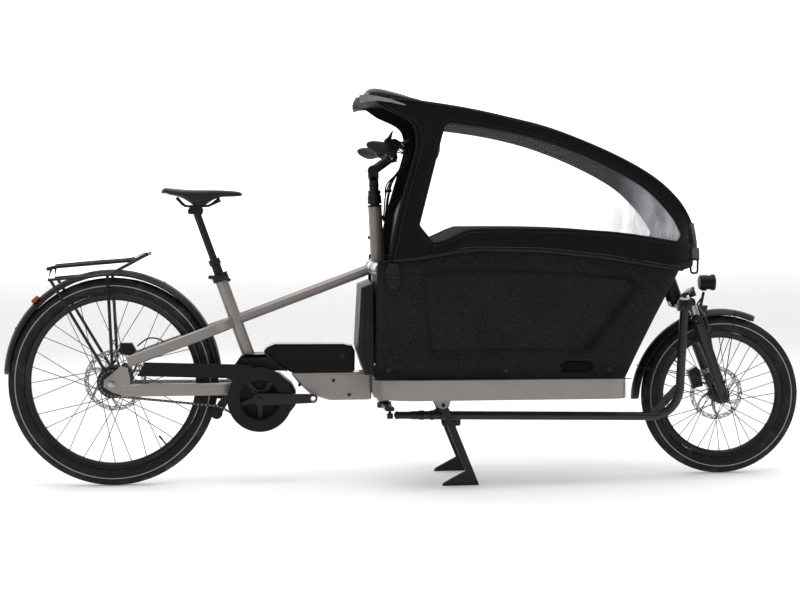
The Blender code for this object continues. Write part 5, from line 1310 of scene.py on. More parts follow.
def canopy_extras():
    """The strap tabs behind the rear corners, the zips, the nose strap and its hook ring."""
    for side, word in ((1, "left"), (-1, "right")):
        tab = [(0.884, 0.7245), (0.874, 0.700), (0.876, 0.664), (0.884, 0.646), (0.908, 0.645),
               (0.918, 0.660),
               (0.917, 0.702), (0.913, 0.722)]
        y = side * (outer_y(0.895, 0.69) + 0.0012)
        piece(f"canopy_tab_{word}",
              extrude(tab, min(y, y - side * 0.0022), max(y, y - side * 0.0022)), STRAP,
                      FRAME_BODY, 40, bevel=0.0008)
        buckle = [(0.880, 0.690), (0.912, 0.688), (0.913, 0.668), (0.882, 0.669)]
        far = y + side * 0.0034
        frame_ring = extrude(buckle, min(y, far), max(y, far))
        piece(f"canopy_buckle_{word}", frame_ring, PLASTIC, FRAME_BODY, 40, bevel=0.0014)
        pin = sweep([(0.883, y + side * 0.0036, 0.679), (0.910, y + side * 0.0036, 0.678)],
                    round_section(0.0016, 8))
        piece(f"canopy_buckle_pin_{word}", pin, BLACK, FRAME_BODY, 60)
        half = canopy_half(1.872, 0.77)
        line = [(1.863, 0.836), (1.873, 0.795), (1.878, 0.760), (1.880, 0.722)]
        path = spline([(x, side * (canopy_half(x, z) + 0.0010), z) for x, z in line], 8)
        piece(f"nose_strap_{word}", sweep(path, box_section(0.0018, 0.020, 0.9, 2), side=Y_AXIS),
              GREY_STRAP, FRAME_BODY,
              60)
        tab = [(1.866, 0.760), (1.892, 0.757), (1.893, 0.716), (1.865, 0.717)]
        near, far = side * (half + 0.0030), side * (half + 0.0062)
        piece(f"nose_buckle_{word}", extrude(tab, min(near, far), max(near, far)), GREY_STRAP, FRAME_BODY,
              40, bevel=0.0012)
        ring = [(1.863, 0.722), (1.887, 0.721), (1.886, 0.676), (1.864, 0.677)]
        path = rounded([(x, side * (half + 0.0040), z) for x, z in ring + ring[:2]], 0.010)
        piece(f"nose_ring_{word}", tube(path, 0.0036, 10), BLACK, FRAME_BODY, 60)
        folds = []
        for k in range(7):
            top = (1.846 + 0.0058 * k, 0.858 - 0.0115 * k)
            low = (1.8655 + 0.0030 * k, 0.752)
            middle = ((top[0] + low[0]) / 2 + 0.0030, (top[1] + low[1]) / 2)
            path = spline([(x, side * (canopy_half(x, z) - 0.0004), z) for x, z in (top, middle, low)], 6)
            folds.append(tube(path, 0.0016, 6))
        piece(f"nose_gathers_{word}", merged(*folds), PIPING, FRAME_BODY, 70)
        lining = [(0.7990, 1.2480), (0.7995, 1.2300), (0.8050, 1.2215), (0.8180, 1.2270), (0.8600, 1.2290),
                  (0.9000, 1.2235),
                  (0.9400, 1.2140), (0.9450, 1.2170), (0.9000, 1.2340), (0.8600, 1.2430), (0.8200, 1.2490)]
        near, far = side * (canopy_half(0.801, 1.23) + 0.0026), side * (canopy_half(0.801, 1.23) + 0.0038)
        piece(f"visor_lining_{word}", extrude(lining, min(near, far), max(near, far)), LINING,
              FRAME_BODY, 40,
              bevel=0.0005)
    zips = []
    for side in (-1, 1):
        line = spline([(x + 0.021, side * (canopy_half(x, z) + 0.0004), z) for x, z in REAR_EDGE[:-1]], 8)
        zips.append(sweep(line, box_section(0.0016, 0.0060, 0.6, 2), side=Y_AXIS))
    piece("canopy_zips", merged(*zips), PLASTIC, FRAME_BODY, 60)


def visor_fold():
    """The rear flap, folded up on the visor and held there as a soft roll."""
    outline = spline([(0.827, 0, 1.2600), (0.8275, 0, 1.2700), (0.836, 0, 1.2780), (0.856, 0, 1.2800),
                      (0.895, 0, 1.2725),
                      (0.950, 0, 1.2575), (0.995, 0, 1.2440), (0.990, 0, 1.2385), (0.950, 0, 1.2455),
                      (0.895, 0, 1.2535),
                      (0.855, 0, 1.2580), (0.838, 0, 1.2560)], 4, closed=True)
    count, across = len(outline), 60
    points = []
    for j in range(across + 1):
        share = j / across * 2 - 1
        squeeze = 1 - 0.35 * abs(share) ** 10
        for p in outline:
            fade = min(1.0, (p.z - 1.236) / 0.02)
            ripple = 0.0022 * noise.noise(Vector((p.x * 16, share * 7.0, p.z * 20))) * fade
            droop = 0.0145 * abs(share) ** 2.6 + 0.0015
            points.append((p.x + ripple, share * (canopy_half(p.x, p.z) + 0.001),
                           1.25 + (p.z - 1.25) * squeeze + ripple - droop))
    faces = [[j * count + k, j * count + (k + 1) % count, (j + 1) * count + (k + 1) % count,
              (j + 1) * count + k]
             for j in range(across) for k in range(count)]
    faces += [list(range(count))[::-1], [across * count + k for k in range(count)]]
    roll = piece("canopy_folded_flap", (points, faces), CANVAS, FRAME_BODY, 60)


for hand, hand_word in ((1, "left"), (-1, "right")):
    canopy_side(hand, hand_word)
canopy_roof()
canopy_extras()
visor_fold()


# ---------------------------------------------------------------- saddle, bench and grips
def saddle():
    stations = [(0.1665, 0.955, 0.030, 0.006), (0.170, 0.957, 0.050, 0.010), (0.180, 0.9595, 0.066, 0.0135),
                (0.200, 0.9560, 0.0755, 0.0160), (0.222, 0.9535, 0.0765, 0.0165),
                (0.245, 0.9515, 0.069, 0.0160),
                (0.268, 0.9505, 0.0565, 0.0155), (0.292, 0.9500, 0.0445, 0.0155),
                (0.320, 0.9500, 0.0340, 0.0155),
                (0.350, 0.9495, 0.0265, 0.0150), (0.385, 0.9480, 0.0210, 0.0140),
                (0.405, 0.9470, 0.0175, 0.0120),
                (0.418, 0.9460, 0.0130, 0.0095), (0.4255, 0.9450, 0.0070, 0.0055)]
    line = spline([(x, half, z) for x, z, half, tall in stations], 5)
    tall_line = spline([(x, 0, tall) for x, z, half, tall in stations], 5)
    around, points = 32, []
    for place, tall in zip(line, tall_line):
        for k in range(around):
            turn = 2 * math.pi * k / around
            c, s = math.cos(turn), math.sin(turn)
            wide = math.copysign(abs(c) ** 0.72, c) * place.y
            groove = 0.0035 * math.exp(-(wide / 0.007) ** 2) * max(0.0, 1 - abs(place.x - 0.285) / 0.115)
            if s >= 0:
                z = place.z + tall.z * (0.95 * s**0.62 - 0.30) - groove * (1 if s > 0.6 else 0)
            else:
                skirt = 0.034 * math.exp(-((place.x - 0.287) / 0.042) ** 2) * abs(s) ** 0.5
                z = place.z - tall.z * (0.30 + 0.48 * abs(s) ** 0.8) - skirt
            points.append((place.x, wide, z))
    faces = []
    for i in range(len(line) - 1):
        for k in range(around):
            m = (k + 1) % around
            faces.append([i * around + k, i * around + m, (i + 1) * around + m, (i + 1) * around + k])
    faces += [list(range(around))[::-1], [(len(line) - 1) * around + k for k in range(around)]]
    shell = piece("saddle_pad", (points, faces), LEATHER, "saddle_post", 70, stands_for=["saddle"])
    edges = []
    for side in (-1, 1):
        edges.append(tube([(p.x, side * (p.y + 0.0003), p.z - t.z * 0.33)
                           for p, t in list(zip(line, tall_line))[4:-2]],
                          0.0013, 6))
    edges.append(tube([(0.1680, y * 0.001, 0.9535 - abs(y) * 0.00003) for y in range(-40, 41, 8)],
                      0.0013, 6))
    piece("saddle_edge_piping", merged(*edges), PIPING, "saddle_post", 60)
    stitches = []
    for side in (-1, 1):
        for p, t in list(zip(line, tall_line))[6:-6:1]:
            spot = Vector((p.x, side * p.y * 0.60, p.z + t.z * 0.515))
            stitches.append(sweep([spot, spot + Vector((0.0034, 0, 0))], round_section(0.0005, 4)))
    piece("saddle_stitching", merged(*stitches), THREAD, "saddle_post", 60)
    base = [(0.176, 0.9450), (0.230, 0.9400), (0.300, 0.9390), (0.400, 0.9390), (0.414, 0.9400),
            (0.300, 0.9430),
            (0.220, 0.9460)]
    piece("saddle_base", extrude(base, -0.014, 0.014), PLASTIC, "saddle_post", 40)
    bolts = [lathe([(0.0055, -0.031), (0.0055, -0.0285), (0.0045, -0.0275), (0.0045, 0.0275),
                    (0.0055, 0.0285),
                    (0.0055, 0.031), (0, 0.031)], Vector((0.276, 0, 0.896)), Y_AXIS, 16)]
    bolts.append(lathe([(0, -0.0225), (0.0042, -0.0225), (0.0042, 0.0225), (0, 0.0225)],
                       Vector((0.262, 0, 0.908)), Y_AXIS, 14))
    piece("saddle_clamp_bolts", merged(*bolts), BOLT, "saddle_post", 40)


def bench_pads():
    """The bench's seat and back cushions with sewn channels, and two belts."""
    def pad(name, low, high, across, thick, bulge_to, seams):
        """A cushion between two (x, z) points, its thickness along bulge_to."""
        nu, nv = 44, 26
        out = Vector(bulge_to).normalized()
        start, end = Vector((low[0], 0, low[1])), Vector((high[0], 0, high[1]))
        top, under = [], []
        for j in range(nv + 1):
            for i in range(nu + 1):
                u, v = i / nu * 2 - 1, j / nv * 2 - 1
                pinch = 1 - 0.035 * (v * v) * (1 if abs(u) > 0.9 else 0.4)
                place = start.lerp(end, (v * (1 - 0.03 * u * u) + 1) / 2) + Y_AXIS * across * u * pinch
                crown = max(0.0, (1 - u**6) * (1 - v**6)) ** 0.5
                channel = sum(0.35 * math.exp(-((v - seam) / 0.07) ** 2) for seam in seams)
                channel += 0.25 * math.exp(-(u / 0.035) ** 2)
                wrinkle = 0.0009 * noise.noise(place * 34.0)
                height = thick * (0.25 + 0.75 * crown * (1 - channel)) + wrinkle
                top.append(place + out * height)
                under.append(place + out * thick * 0.06 * (1 - crown))
        count = len(top)
        faces = []
        for j in range(nv):
            for i in range(nu):
                a = j * (nu + 1) + i
                quad = [a, a + 1, a + nu + 2, a + nu + 1]
                faces += [quad, [count + q for q in reversed(quad)]]
        edge = ([i for i in range(nu)] + [nu + (nu + 1) * j for j in range(nv)]
                + [nv * (nu + 1) + i for i in range(nu, 0, -1)] + [(nu + 1) * j for j in range(nv, 0, -1)])
        faces += [[edge[k - 1], edge[k], count + edge[k], count + edge[k - 1]] for k in range(len(edge))]
        made = piece(name, (top + under, faces), UPHOLSTERY, FRAME_BODY, 75)
        return made

    pad("bench_seat_pad", (1.004, 0.5478), (1.232, 0.5530), 0.226, 0.012, (0, 0, 1), (-0.33, 0.33))
    pad("bench_back_pad", (0.9862, 0.600), (0.9752, 0.862), 0.226, 0.012, (1, 0, 0.04), (-0.45, 0.05, 0.5))
    belts = []
    for y in (-0.17, -0.06, 0.06, 0.17):
        path = spline([(0.9880, y, 0.850), (0.9945, y, 0.780), (0.9980, y, 0.680), (1.018, y, 0.585),
                       (1.090, y, 0.5680),
                       (1.160, y * 0.9, 0.5705)], 6)
        belts.append(sweep(path, box_section(0.022, 0.0016, 0.8, 2), side=Y_AXIS))
    piece("bench_belts", merged(*belts), STRAP, FRAME_BODY, 60)
    buckles = [extrude([(1.150, 0.5710), (1.190, 0.5725), (1.190, 0.5840), (1.150, 0.5825)],
                       y * 0.9 - 0.014, y * 0.9 + 0.014)
               for y in (-0.115, 0.115)]
    piece("bench_buckles", merged(*buckles), PLASTIC, FRAME_BODY, 40, bevel=0.003)


def bar_point(y):
    side = min(max((abs(y) - 0.045) / 0.16, 0.0), 1.0)
    ease = side * side * (3 - 2 * side)
    back = max(abs(y) - 0.15, 0.0)
    return Vector((0.915 - 0.012 * ease - 0.27 * back, y, 1.061 + 0.026 * ease - 0.03 * back))


def grips_and_bars():
    for side, word in ((1, "left"), (-1, "right")):
        stations = [(0.2080, 0.0150, 0.0150), (0.2095, 0.0168, 0.0168), (0.222, 0.0180, 0.0170),
                    (0.240, 0.0188, 0.0168),
                    (0.262, 0.0200, 0.0175), (0.282, 0.0235, 0.0185), (0.300, 0.0310, 0.0190),
                    (0.322, 0.0390, 0.0185),
                    (0.331, 0.0370, 0.0165), (0.3345, 0.0310, 0.0130), (0.335, 0.0250, 0.0095)]
        wide = spline([(y, deep, tall) for y, deep, tall in stations], 6)
        points, around = [], 28
        for y, deep, tall in wide:
            middle = bar_point(side * y)
            rib = 0.00035 * math.sin(y * 1900.0) if 0.216 < y < 0.326 else 0.0
            for k in range(around):
                turn = 2 * math.pi * k / around
                a, b = math.cos(turn), math.sin(turn)
                back = deep if a < 0 else min(deep, 0.0180)
                points.append((middle.x + a * (back + rib), middle.y,
                               middle.z + b * (tall + rib) - a * back * 0.25))
        faces = []
        for i in range(len(wide) - 1):
            for k in range(around):
                m = (k + 1) % around
                faces.append([i * around + k, i * around + m, (i + 1) * around + m, (i + 1) * around + k])
        faces += [list(range(around))[::-1], [(len(wide) - 1) * around + k for k in range(around)]]
        piece(f"grip_{word}_ribbed", (points, faces), RUBBER, "column", 60, stands_for=[f"grip_{word}"])
        ring_place = bar_point(side * 0.2065)
        ahead = (bar_point(side * 0.215) - ring_place).normalized()
        collar = lathe([(0.0112, -0.0035), (0.0168, -0.0035), (0.0175, -0.002), (0.0175, 0.002),
                        (0.0168, 0.0035),
                        (0.0112, 0.0035)], ring_place, ahead, 28)
        piece(f"grip_collar_{word}", collar, BLACK, "column", 40)
    path = [bar_point(y) for y in [-0.204 + 0.408 * k / 68 for k in range(69)]]
    clamps = []
    for side in (-1, 1):
        seat = bar_point(side * 0.172)
        tip = Vector((0.932, side * 0.172, 1.094))
        clamps.append(lathe([(0.0113, -0.0082), (0.0166, -0.0082), (0.0172, -0.007), (0.0172, 0.007),
                             (0.0166, 0.0082),
                             (0.0113, 0.0082)], seat, Y_AXIS, 36))
        clamps.append(sweep([seat, seat.lerp(tip, 0.5) + Vector((0, 0, 0.001)), tip],
                            box_section(0.0150, 0.0190, 0.6, 3)))
        tank = [tip + Vector((-0.012, side * -0.052, 0.002)), tip + Vector((-0.008, side * -0.026, 0.002)),
                tip + Vector((-0.004, side * -0.004, 0.0))]
        clamps.append(sweep(tank, box_section(0.0175, 0.0160, 0.7, 4)))
        clamps.append(lathe([(0.0055, 0), (0.0055, 0.006), (0.0042, 0.010), (0.0042, 0.016), (0, 0.017)],
                            tank[0], Vector((0, -side, 0)), 16))
        clamps.append(lathe([(0.0113, -0.006), (0.0150, -0.006), (0.0150, 0.006), (0.0113, 0.006)],
                            bar_point(side * 0.136),
                            Y_AXIS, 28))
        trigger = bar_point(side * 0.136) + Vector((0.006, 0, 0.014))
        clamps.append(sweep([trigger, trigger + Vector((0.012, side * 0.004, 0.006))],
                            box_section(0.022, 0.014, 0.7, 3)))
    piece("bar_tube", merged(tube(path, 0.0110, 20), *clamps), BLACK, "column", 45,
          stands_for=["handlebar"])
    display = extrude([(0.933, 1.092), (0.962, 1.081), (0.965, 1.088), (0.940, 1.104), (0.934, 1.102)],
                      -0.026, 0.026)
    piece("display", display, GLOSS, "column", 35, bevel=0.003)
    arm = [sweep([bar_point(0.038), Vector((0.930, 0.030, 1.082)), Vector((0.940, 0.022, 1.092))],
                 box_section(0.010, 0.006, 0.6, 2)),
           lathe([(0.0113, -0.005), (0.0145, -0.005), (0.0145, 0.005), (0.0113, 0.005)], bar_point(0.038),
                 Y_AXIS, 28),
           lathe([(0.0113, -0.005), (0.0145, -0.005), (0.0145, 0.005), (0.0113, 0.005)], bar_point(-0.038),
                 Y_AXIS, 28)]
    piece("display_arm", merged(*arm), PLASTIC, "column", 40)
    bell = bar_point(0.085) + Vector((0.004, 0, 0.016))
    dome = lathe([(0.0, 0.0205), (0.006, 0.0198), (0.0118, 0.0165), (0.0158, 0.0105), (0.0170, 0.0045),
                  (0.0170, 0.0030),
                  (0, 0.0030)], bell, Vector((0.1, 0, 1)), 36)
    foot = lathe([(0.0113, -0.004), (0.0140, -0.004), (0.0140, 0.004), (0.0113, 0.004)], bar_point(0.085),
                 Y_AXIS, 28)
    piece("bell", merged(dome, foot), BLACK, "column", 45)
    bolts = []
    for y in (-0.014, 0.014):
        for dx, dz in ((0.014, 0.013), (0.013, -0.014)):
            bolts.append(bolt_head(Vector((0.915 + dx, y, 1.061 + dz)), Vector((1, 0, 0.2)),
                                   0.0036, 0.0030))
    pivot = on_column(1.018)
    for side in (-1, 1):
        bolts.append(washer(pivot + Y_AXIS * side * 0.020, Y_AXIS * side, 0.0120, 0.0012))
        bolts.append(bolt_head(pivot + Y_AXIS * side * 0.0208, Y_AXIS * side, 0.0052, 0.0028))
    piece("stem_bolts", merged(*bolts), BOLT, "column", 35)
    ring = [lathe([(0.0156, 0.936), (0.0200, 0.936), (0.0205, 0.938), (0.0205, 0.952), (0.0200, 0.954),
                   (0.0156, 0.954)],
                  COLUMN_FOOT, COLUMN_UP, 36)]
    ring.append(lathe([(0.0155, 0.968), (0.0175, 0.968), (0.0175, 0.972), (0.0155, 0.972)], COLUMN_FOOT,
                      COLUMN_UP, 36))
    piece("column_clamp", merged(*ring), BLACK, "column", 40)
    marks = []
    for side in (-1, 1):
        pivot = Vector((0.938, side * 0.172, 1.098))
        axis = Vector((0.6, 0, -0.8))
        marks.append(lathe([(0.0040, -0.009), (0.0040, 0.009), (0, 0.009)], pivot, axis, 14))
    piece("lever_pins", merged(*marks), STEEL, "column", 40)


# ---------------------------------------------------------------- mudguards, rack and lamps
def guard_line(centre, radius_at, start, end, steps):
    line = []
    for k in range(steps + 1):
        turn = start + (end - start) * k / steps
        r = radius_at(turn)
        line.append(centre + Vector((r * math.cos(math.radians(turn)), 0,
                                     r * math.sin(math.radians(turn)))))
    return line


def mudguard(name, body, node, centre, radius_at, start, end, half):
    """A rolled blade with a raised middle and beaded edges, its ends rounded."""
    steps, across = 110, 22
    line = guard_line(centre, radius_at, start, end, steps)
    length = sum((b - a).length for a, b in zip(line, line[1:]))
    walked, outer, inner = 0.0, [], []
    for i, place in enumerate(line):
        if i:
            walked += (place - line[i - 1]).length
        end_gap = min(walked, length - walked)
        narrow = math.sqrt(max(0.0, 1 - (1 - min(end_gap / 0.022, 1.0)) ** 2)) * 0.55 + 0.45
        out = (place - centre).normalized()
        for k in range(across + 1):
            s = k / across * 2 - 1
            lift = -0.0190 * abs(s) ** 3.0 - 0.0006 + (0.0009 if abs(s) > 0.9 else 0.0)
            lift += 0.0006 if abs(s) < 0.3 else 0
            lift -= 0.0010
            outer.append(place + out * (lift + 0.0006) + Y_AXIS * s * half * narrow)
            inner.append(place + out * (lift - 0.0014) + Y_AXIS * s * half * narrow)
    width = across + 1
    count = len(outer)
    faces = []
    for i in range(steps):
        for k in range(across):
            a = i * width + k
            quad = [a, a + 1, a + width + 1, a + width]
            faces += [quad, [count + q for q in reversed(quad)]]
    for i in range(steps):
        for k in (0, across):
            a, b = i * width + k, (i + 1) * width + k
            faces.append([a, b, count + b, count + a])
    for i in (0, steps):
        for k in range(across):
            a = i * width + k
            faces.append([a, a + 1, count + a + 1, count + a])
    return piece(name, (outer + inner, faces), GUARD, body, 50, stands_for=[node])


def mudguards():
    mudguard("rear_guard_blade", FRAME_BODY, "rear_mudguard", REAR,
             lambda t: 0.3665 - 0.0135 * (abs(t - 92) / 84) ** 2,
             8, 175, 0.034)
    mudguard("front_guard_blade", "fork_legs", "front_mudguard", FRONT,
             lambda t: 0.2865 + 0.012 * max(0.0, (t - 120) / 62) ** 2, 65, 182, 0.033)
    rivets = []
    for turn in (62, 112, 150):
        r = 0.3665 - 0.0135 * (abs(turn - 92) / 84) ** 2
        out = Vector((math.cos(math.radians(turn)), 0, math.sin(math.radians(turn))))
        for y in (-0.012, 0.012):
            rivets.append(lathe([(0.0036, 0), (0.0030, 0.0012), (0, 0.0018)],
                                REAR + out * (r - 0.0008) + Y_AXIS * y, out, 12))
    piece("rear_guard_rivets", merged(*rivets), BOLT, FRAME_BODY, 50)
    stays = []
    for side in (-1, 1):
        foot = on_fork(0.045, 0.035 + 0.014, side * 0.078)
        top = FRONT + Vector((0.2830 * math.cos(math.radians(80)), side * 0.031,
                              0.2830 * math.sin(math.radians(80))))
        top_rear = FRONT + Vector((0.2900 * math.cos(math.radians(160)), side * 0.032,
                                   0.2900 * math.sin(math.radians(160))))
        for target in (top, top_rear):
            stays.append(tube([foot, foot.lerp(target, 0.08) + Y_AXIS * side * 0.002, target], 0.0017, 8))
        stays.append(bolt_head(foot, Y_AXIS * side, 0.0046, 0.0030))
    piece("front_guard_stays", merged(*stays), BLACK, "fork_legs", 60)


def rack_and_lamps():
    lug = Vector((-0.2400, 0, 0.6070))
    out = (lug - REAR).normalized()
    along = out.cross(Y_AXIS)
    seat = REAR + out * 0.3600
    housing = []
    section = box_section(0.056, 0.030, 0.5, 4)
    rings = [(0.0, 1.0), (0.004, 1.02), (0.010, 0.98), (0.0125, 0.88)]
    points = []
    for lift, scale in rings:
        points += [seat + out * lift + Y_AXIS * u * scale + along * v * scale for u, v in section]
    width = len(section)
    faces = [[i * width + k, i * width + (k + 1) % width, (i + 1) * width + (k + 1) % width,
              (i + 1) * width + k]
             for i in range(len(rings) - 1) for k in range(width)]
    faces += [list(range(width))[::-1], [(len(rings) - 1) * width + k for k in range(width)]]
    housing.append((points, faces))
    piece("tail_lamp_lens", merged(*housing), RED, FRAME_BODY, 50)
    ring = lathe([(0.0245, 0), (0.0262, 0.0008), (0.0270, 0.003), (0.0270, 0.0070), (0.0255, 0.0084),
                  (0.0232, 0.0084),
                  (0.0228, 0.0060), (0.0228, 0.0)], Vector((1.9790, 0.0, 0.637)), Vector((1, 0, 0)), 48)
    piece("headlight_ring", ring, BLACK, "lamp", 40)
    lens = lathe([(0.0229, 0.0), (0.0229, 0.0040), (0.018, 0.0062), (0.009, 0.0074), (0, 0.0078)],
                 Vector((1.9790, 0.0, 0.637)), Vector((1, 0, 0)), 48)
    piece("headlight_lens", lens, LENS, "lamp", 50)
    fins = []
    for k in range(5):
        fins.append(ring_lathe([(0.0236, -0.0006), (0.0250, -0.0006), (0.0250, 0.0006), (0.0236, 0.0006)],
                               Vector((1.940 + 0.0045 * k, 0.0, 0.637)), Vector((1, 0, 0)), 40))
    fins.append(bolt_head(Vector((1.951, -0.006, 0.6145)), -Y_AXIS, 0.0042, 0.0028))
    piece("headlight_fins", merged(*fins), PLASTIC, "lamp", 40)
    knobs = []
    for side in (-1, 1):
        for place in ((-0.196, 0.7118), (0.119, 0.7545)):
            knobs.append(lathe([(0.0062, 0), (0.0066, 0.002), (0.0058, 0.004), (0, 0.0048)],
                               Vector((place[0], side * 0.0575, place[1])), Y_AXIS * side, 18))
        for place in ((-0.023, 0.390), (-0.018, 0.382)):
            knobs.append(bolt_head(Vector((place[0], side * 0.0925, place[1])), Y_AXIS * side,
                                   0.0052, 0.0030))
        knobs.append(bolt_head(Vector((0.098, side * 0.062, 0.744)), Y_AXIS * side, 0.0040, 0.0024))
    piece("rack_screws", merged(*knobs), BOLT, FRAME_BODY, 40)
    band = []
    for y in (-0.018, 0.018):
        path = spline([(0.108, y, 0.7575), (0.060, y, 0.7415), (-0.060, y, 0.7330), (-0.180, y, 0.7235)], 8)
        band.append(sweep(path, box_section(0.010, 0.0024, 0.8, 2), side=Y_AXIS))
    piece("rack_deck_bands", merged(*band), RUBBER, FRAME_BODY, 60)


saddle()
bench_pads()
grips_and_bars()
mudguards()
rack_and_lamps()


# ------------------------------------------------ steering, cables, stand and fittings
def cables():
    """Four cables from the bar's clamps down to the port in the mast, and the brake hoses at the wheels."""
    port = on_column(0.860, 0.0285)
    lines = []
    ends = [
        ((0.928, 0.112, 1.096), (0.958, 0.066, 1.086), 0.0024),
        ((0.926, 0.128, 1.086), (0.962, 0.080, 1.070), 0.0021),
        ((0.928, -0.112, 1.096), (0.968, -0.060, 1.084), 0.0024),
        ((0.924, -0.130, 1.084), (0.958, -0.070, 1.062), 0.0021),
        ((0.946, 0.010, 1.088), (0.968, 0.010, 1.066), 0.0016),
    ]
    for k, (end, bow, radius) in enumerate(ends):
        turn = 2 * math.pi * k / len(ends)
        off = Vector((0.0048 * math.cos(turn), 0.0048 * math.sin(turn), 0.0))
        path = [port + off * 0.8 - COLUMN_UP * 0.006, on_column(0.885, 0.034) + off,
                on_column(0.930, 0.041) + off * 1.3,
                on_column(0.975, 0.052 + 0.006 * (k % 2)) + off * 1.8 + Y_AXIS * bow[1] * 0.18,
                Vector((0.948 + 0.006 * (k % 3), bow[1] * 0.55, 1.034)), Vector(bow), Vector(end)]
        lines.append(tube(spline(path, 9), radius, 8))
    bundle = piece("cable_bundle", merged(*lines), RUBBER, None, 60, stands_for=["control_hoses"])
    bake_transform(bundle)
    grommet = [lathe([(0.0070, -0.002), (0.0125, -0.002), (0.0132, 0.0), (0.0120, 0.0035), (0.0085, 0.0045),
                      (0.0070, 0.0045)],
                     port - COLUMN_AHEAD * 0.004, COLUMN_AHEAD + COLUMN_UP * 0.4, 24)]
    piece("cable_port", merged(*grommet), RUBBER, FRAME_BODY, 50)
    clip = lathe([(0.0098, -0.005), (0.0118, -0.005), (0.0118, 0.005), (0.0098, 0.005)],
                 on_column(0.950, 0.046),
                 COLUMN_UP, 20)
    piece("cable_wrap", clip, PLASTIC, "column", 50)
    front = spline([(1.8850, 0.0400, 0.3560), (1.8620, 0.044, 0.380), (1.8620, 0.050, 0.425),
                    (1.8780, 0.060, 0.470),
                    (1.8820, 0.0640, 0.5000)], 8)
    piece("front_hose", tube(front, 0.0025, 10), RUBBER, "fork_legs", 60, stands_for=["front_brake_hose"])
    rear = spline([(0.0735, 0.052, 0.450), (0.110, 0.050, 0.475), (0.150, 0.049, 0.470),
                   (0.180, 0.0450, 0.445),
                   (0.205, 0.0440, 0.4500)], 8)
    piece("rear_hose", tube(rear, 0.0025, 10), RUBBER, FRAME_BODY, 60, stands_for=["rear_brake_hose"])


def column_fittings():
    """The knuckle that joins the column to the stem, the mast's bolts and the lug to the box."""
    knuckle = []
    for side in (-1, 1):
        outline = []
        pivot = on_column(1.018)
        for k in range(13):
            turn = math.pi * k / 12
            spot = pivot + COLUMN_AHEAD * 0.0165 * math.cos(turn) + COLUMN_UP * 0.0165 * math.sin(turn)
            outline.append((spot.x, spot.z))
        for up, ahead in ((1.000, -0.0165), (0.986, -0.0150), (0.986, 0.0150), (1.000, 0.0165)):
            spot = on_column(up, ahead)
            outline.append((spot.x, spot.z))
        low, high = sorted((side * 0.0203, side * 0.0262))
        knuckle.append(extrude(outline, low, high))
    knuckle.append(sweep([on_column(0.972), on_column(0.9985)], box_section(0.0524, 0.0300, 0.45, 4),
                         side=Y_AXIS))
    piece("stem_knuckle", merged(*knuckle), BLACK, "column", 40, bevel=0.0010)
    seam = []
    for up in (0.948, 0.960):
        seam.append(bolt_head(on_column(up, 0.0185, -0.004), COLUMN_AHEAD, 0.0034, 0.0028))
    piece("quill_bolts", merged(*seam), BOLT, "column", 40)
    mast = []
    for z in (0.800, 0.740):
        spot = on_column(z / COLUMN_UP.z, -0.0222)
        mast.append(lathe([(0.0052, 0), (0.0052, 0.0046), (0.0044, 0.0058), (0.0024, 0.0058),
                           (0.0022, 0.003), (0, 0.003)], spot,
                          -COLUMN_AHEAD, 16))
    piece("mast_inserts", merged(*mast), BOLT, FRAME_BODY, 40)
    arms, collars = [], []
    for side in (-1, 1):
        path = [(0.8485, side * 0.026, 0.7025), (0.8500, side * 0.110, 0.7025),
                (0.8640, side * 0.262, 0.7025)]
        arms.append(sweep(rounded(path, 0.05, 4), round_section(0.0215, 28)))
        collars.append(lathe([(0.0216, 0), (0.0230, 0.001), (0.0230, 0.006), (0.0216, 0.007)],
                             Vector((0.8520, side * 0.150, 0.7025)), Vector((0.09, side, 0)), 36))
    piece("mast_box_arms", merged(*arms), PAINT, FRAME_BODY, 50)
    piece("mast_arm_collars", merged(*collars), BLACK, FRAME_BODY, 45)
    ring = [ring_lathe([(0.0226, 0.900), (0.0240, 0.900), (0.0240, 0.9065), (0.0226, 0.9065)], COLUMN_FOOT,
                       COLUMN_UP, 40)]
    piece("mast_collar", merged(*ring), BLACK, FRAME_BODY, 40)


def control_bodies():
    """The brake levers' hydraulic bodies and the shifter beside the right one."""
    bodies = []
    for side in (-1, 1):
        start = bar_point(side * 0.098) + Vector((0.010, 0, 0.016))
        end = bar_point(side * 0.160) + Vector((0.014, 0, 0.013))
        bodies.append(lathe([(0, -0.004), (0.0075, -0.003), (0.0100, 0.004), (0.0105, 0.030),
                             (0.0095, 0.056),
                             (0.0070, 0.064), (0, 0.065)], start, end - start, 28))
        bodies.append(lathe([(0.0113, -0.006), (0.0152, -0.006), (0.0152, 0.006), (0.0113, 0.006)],
                            bar_point(side * 0.128), Y_AXIS, 28))
        bodies.append(bolt_head(bar_point(side * 0.128) + Vector((-0.004, 0, -0.0150)), Vector((0, 0, -1)),
                                0.0036, 0.003))
        hub = bar_point(side * 0.182)
        bodies.append(lathe([(0.0113, -0.004), (0.0235, -0.002), (0.0255, 0.003), (0.0255, 0.018),
                             (0.0235, 0.023),
                             (0.0113, 0.025)], hub + Vector((0.002, 0, 0.002)), Y_AXIS * side, 36))
        bodies.append(sweep([hub + Vector((0.002, 0, 0.022)), hub + Vector((0.020, 0, 0.0245)),
                             hub + Vector((0.0360, -side * 0.004, 0.014))],
                            box_section(0.012, 0.012, 0.8, 3)))
    piece("control_bodies", merged(*bodies), PLASTIC, "column", 45)
    blade = [(0.876, 1.094), (0.892, 1.090), (0.9020, 1.110), (0.9090, 1.1400), (0.9045, 1.1385),
             (0.893, 1.121),
             (0.880, 1.110)]
    piece("shifter_blade", extrude(blade, -0.1960, -0.1870), PLASTIC, "column", 45, bevel=0.002)


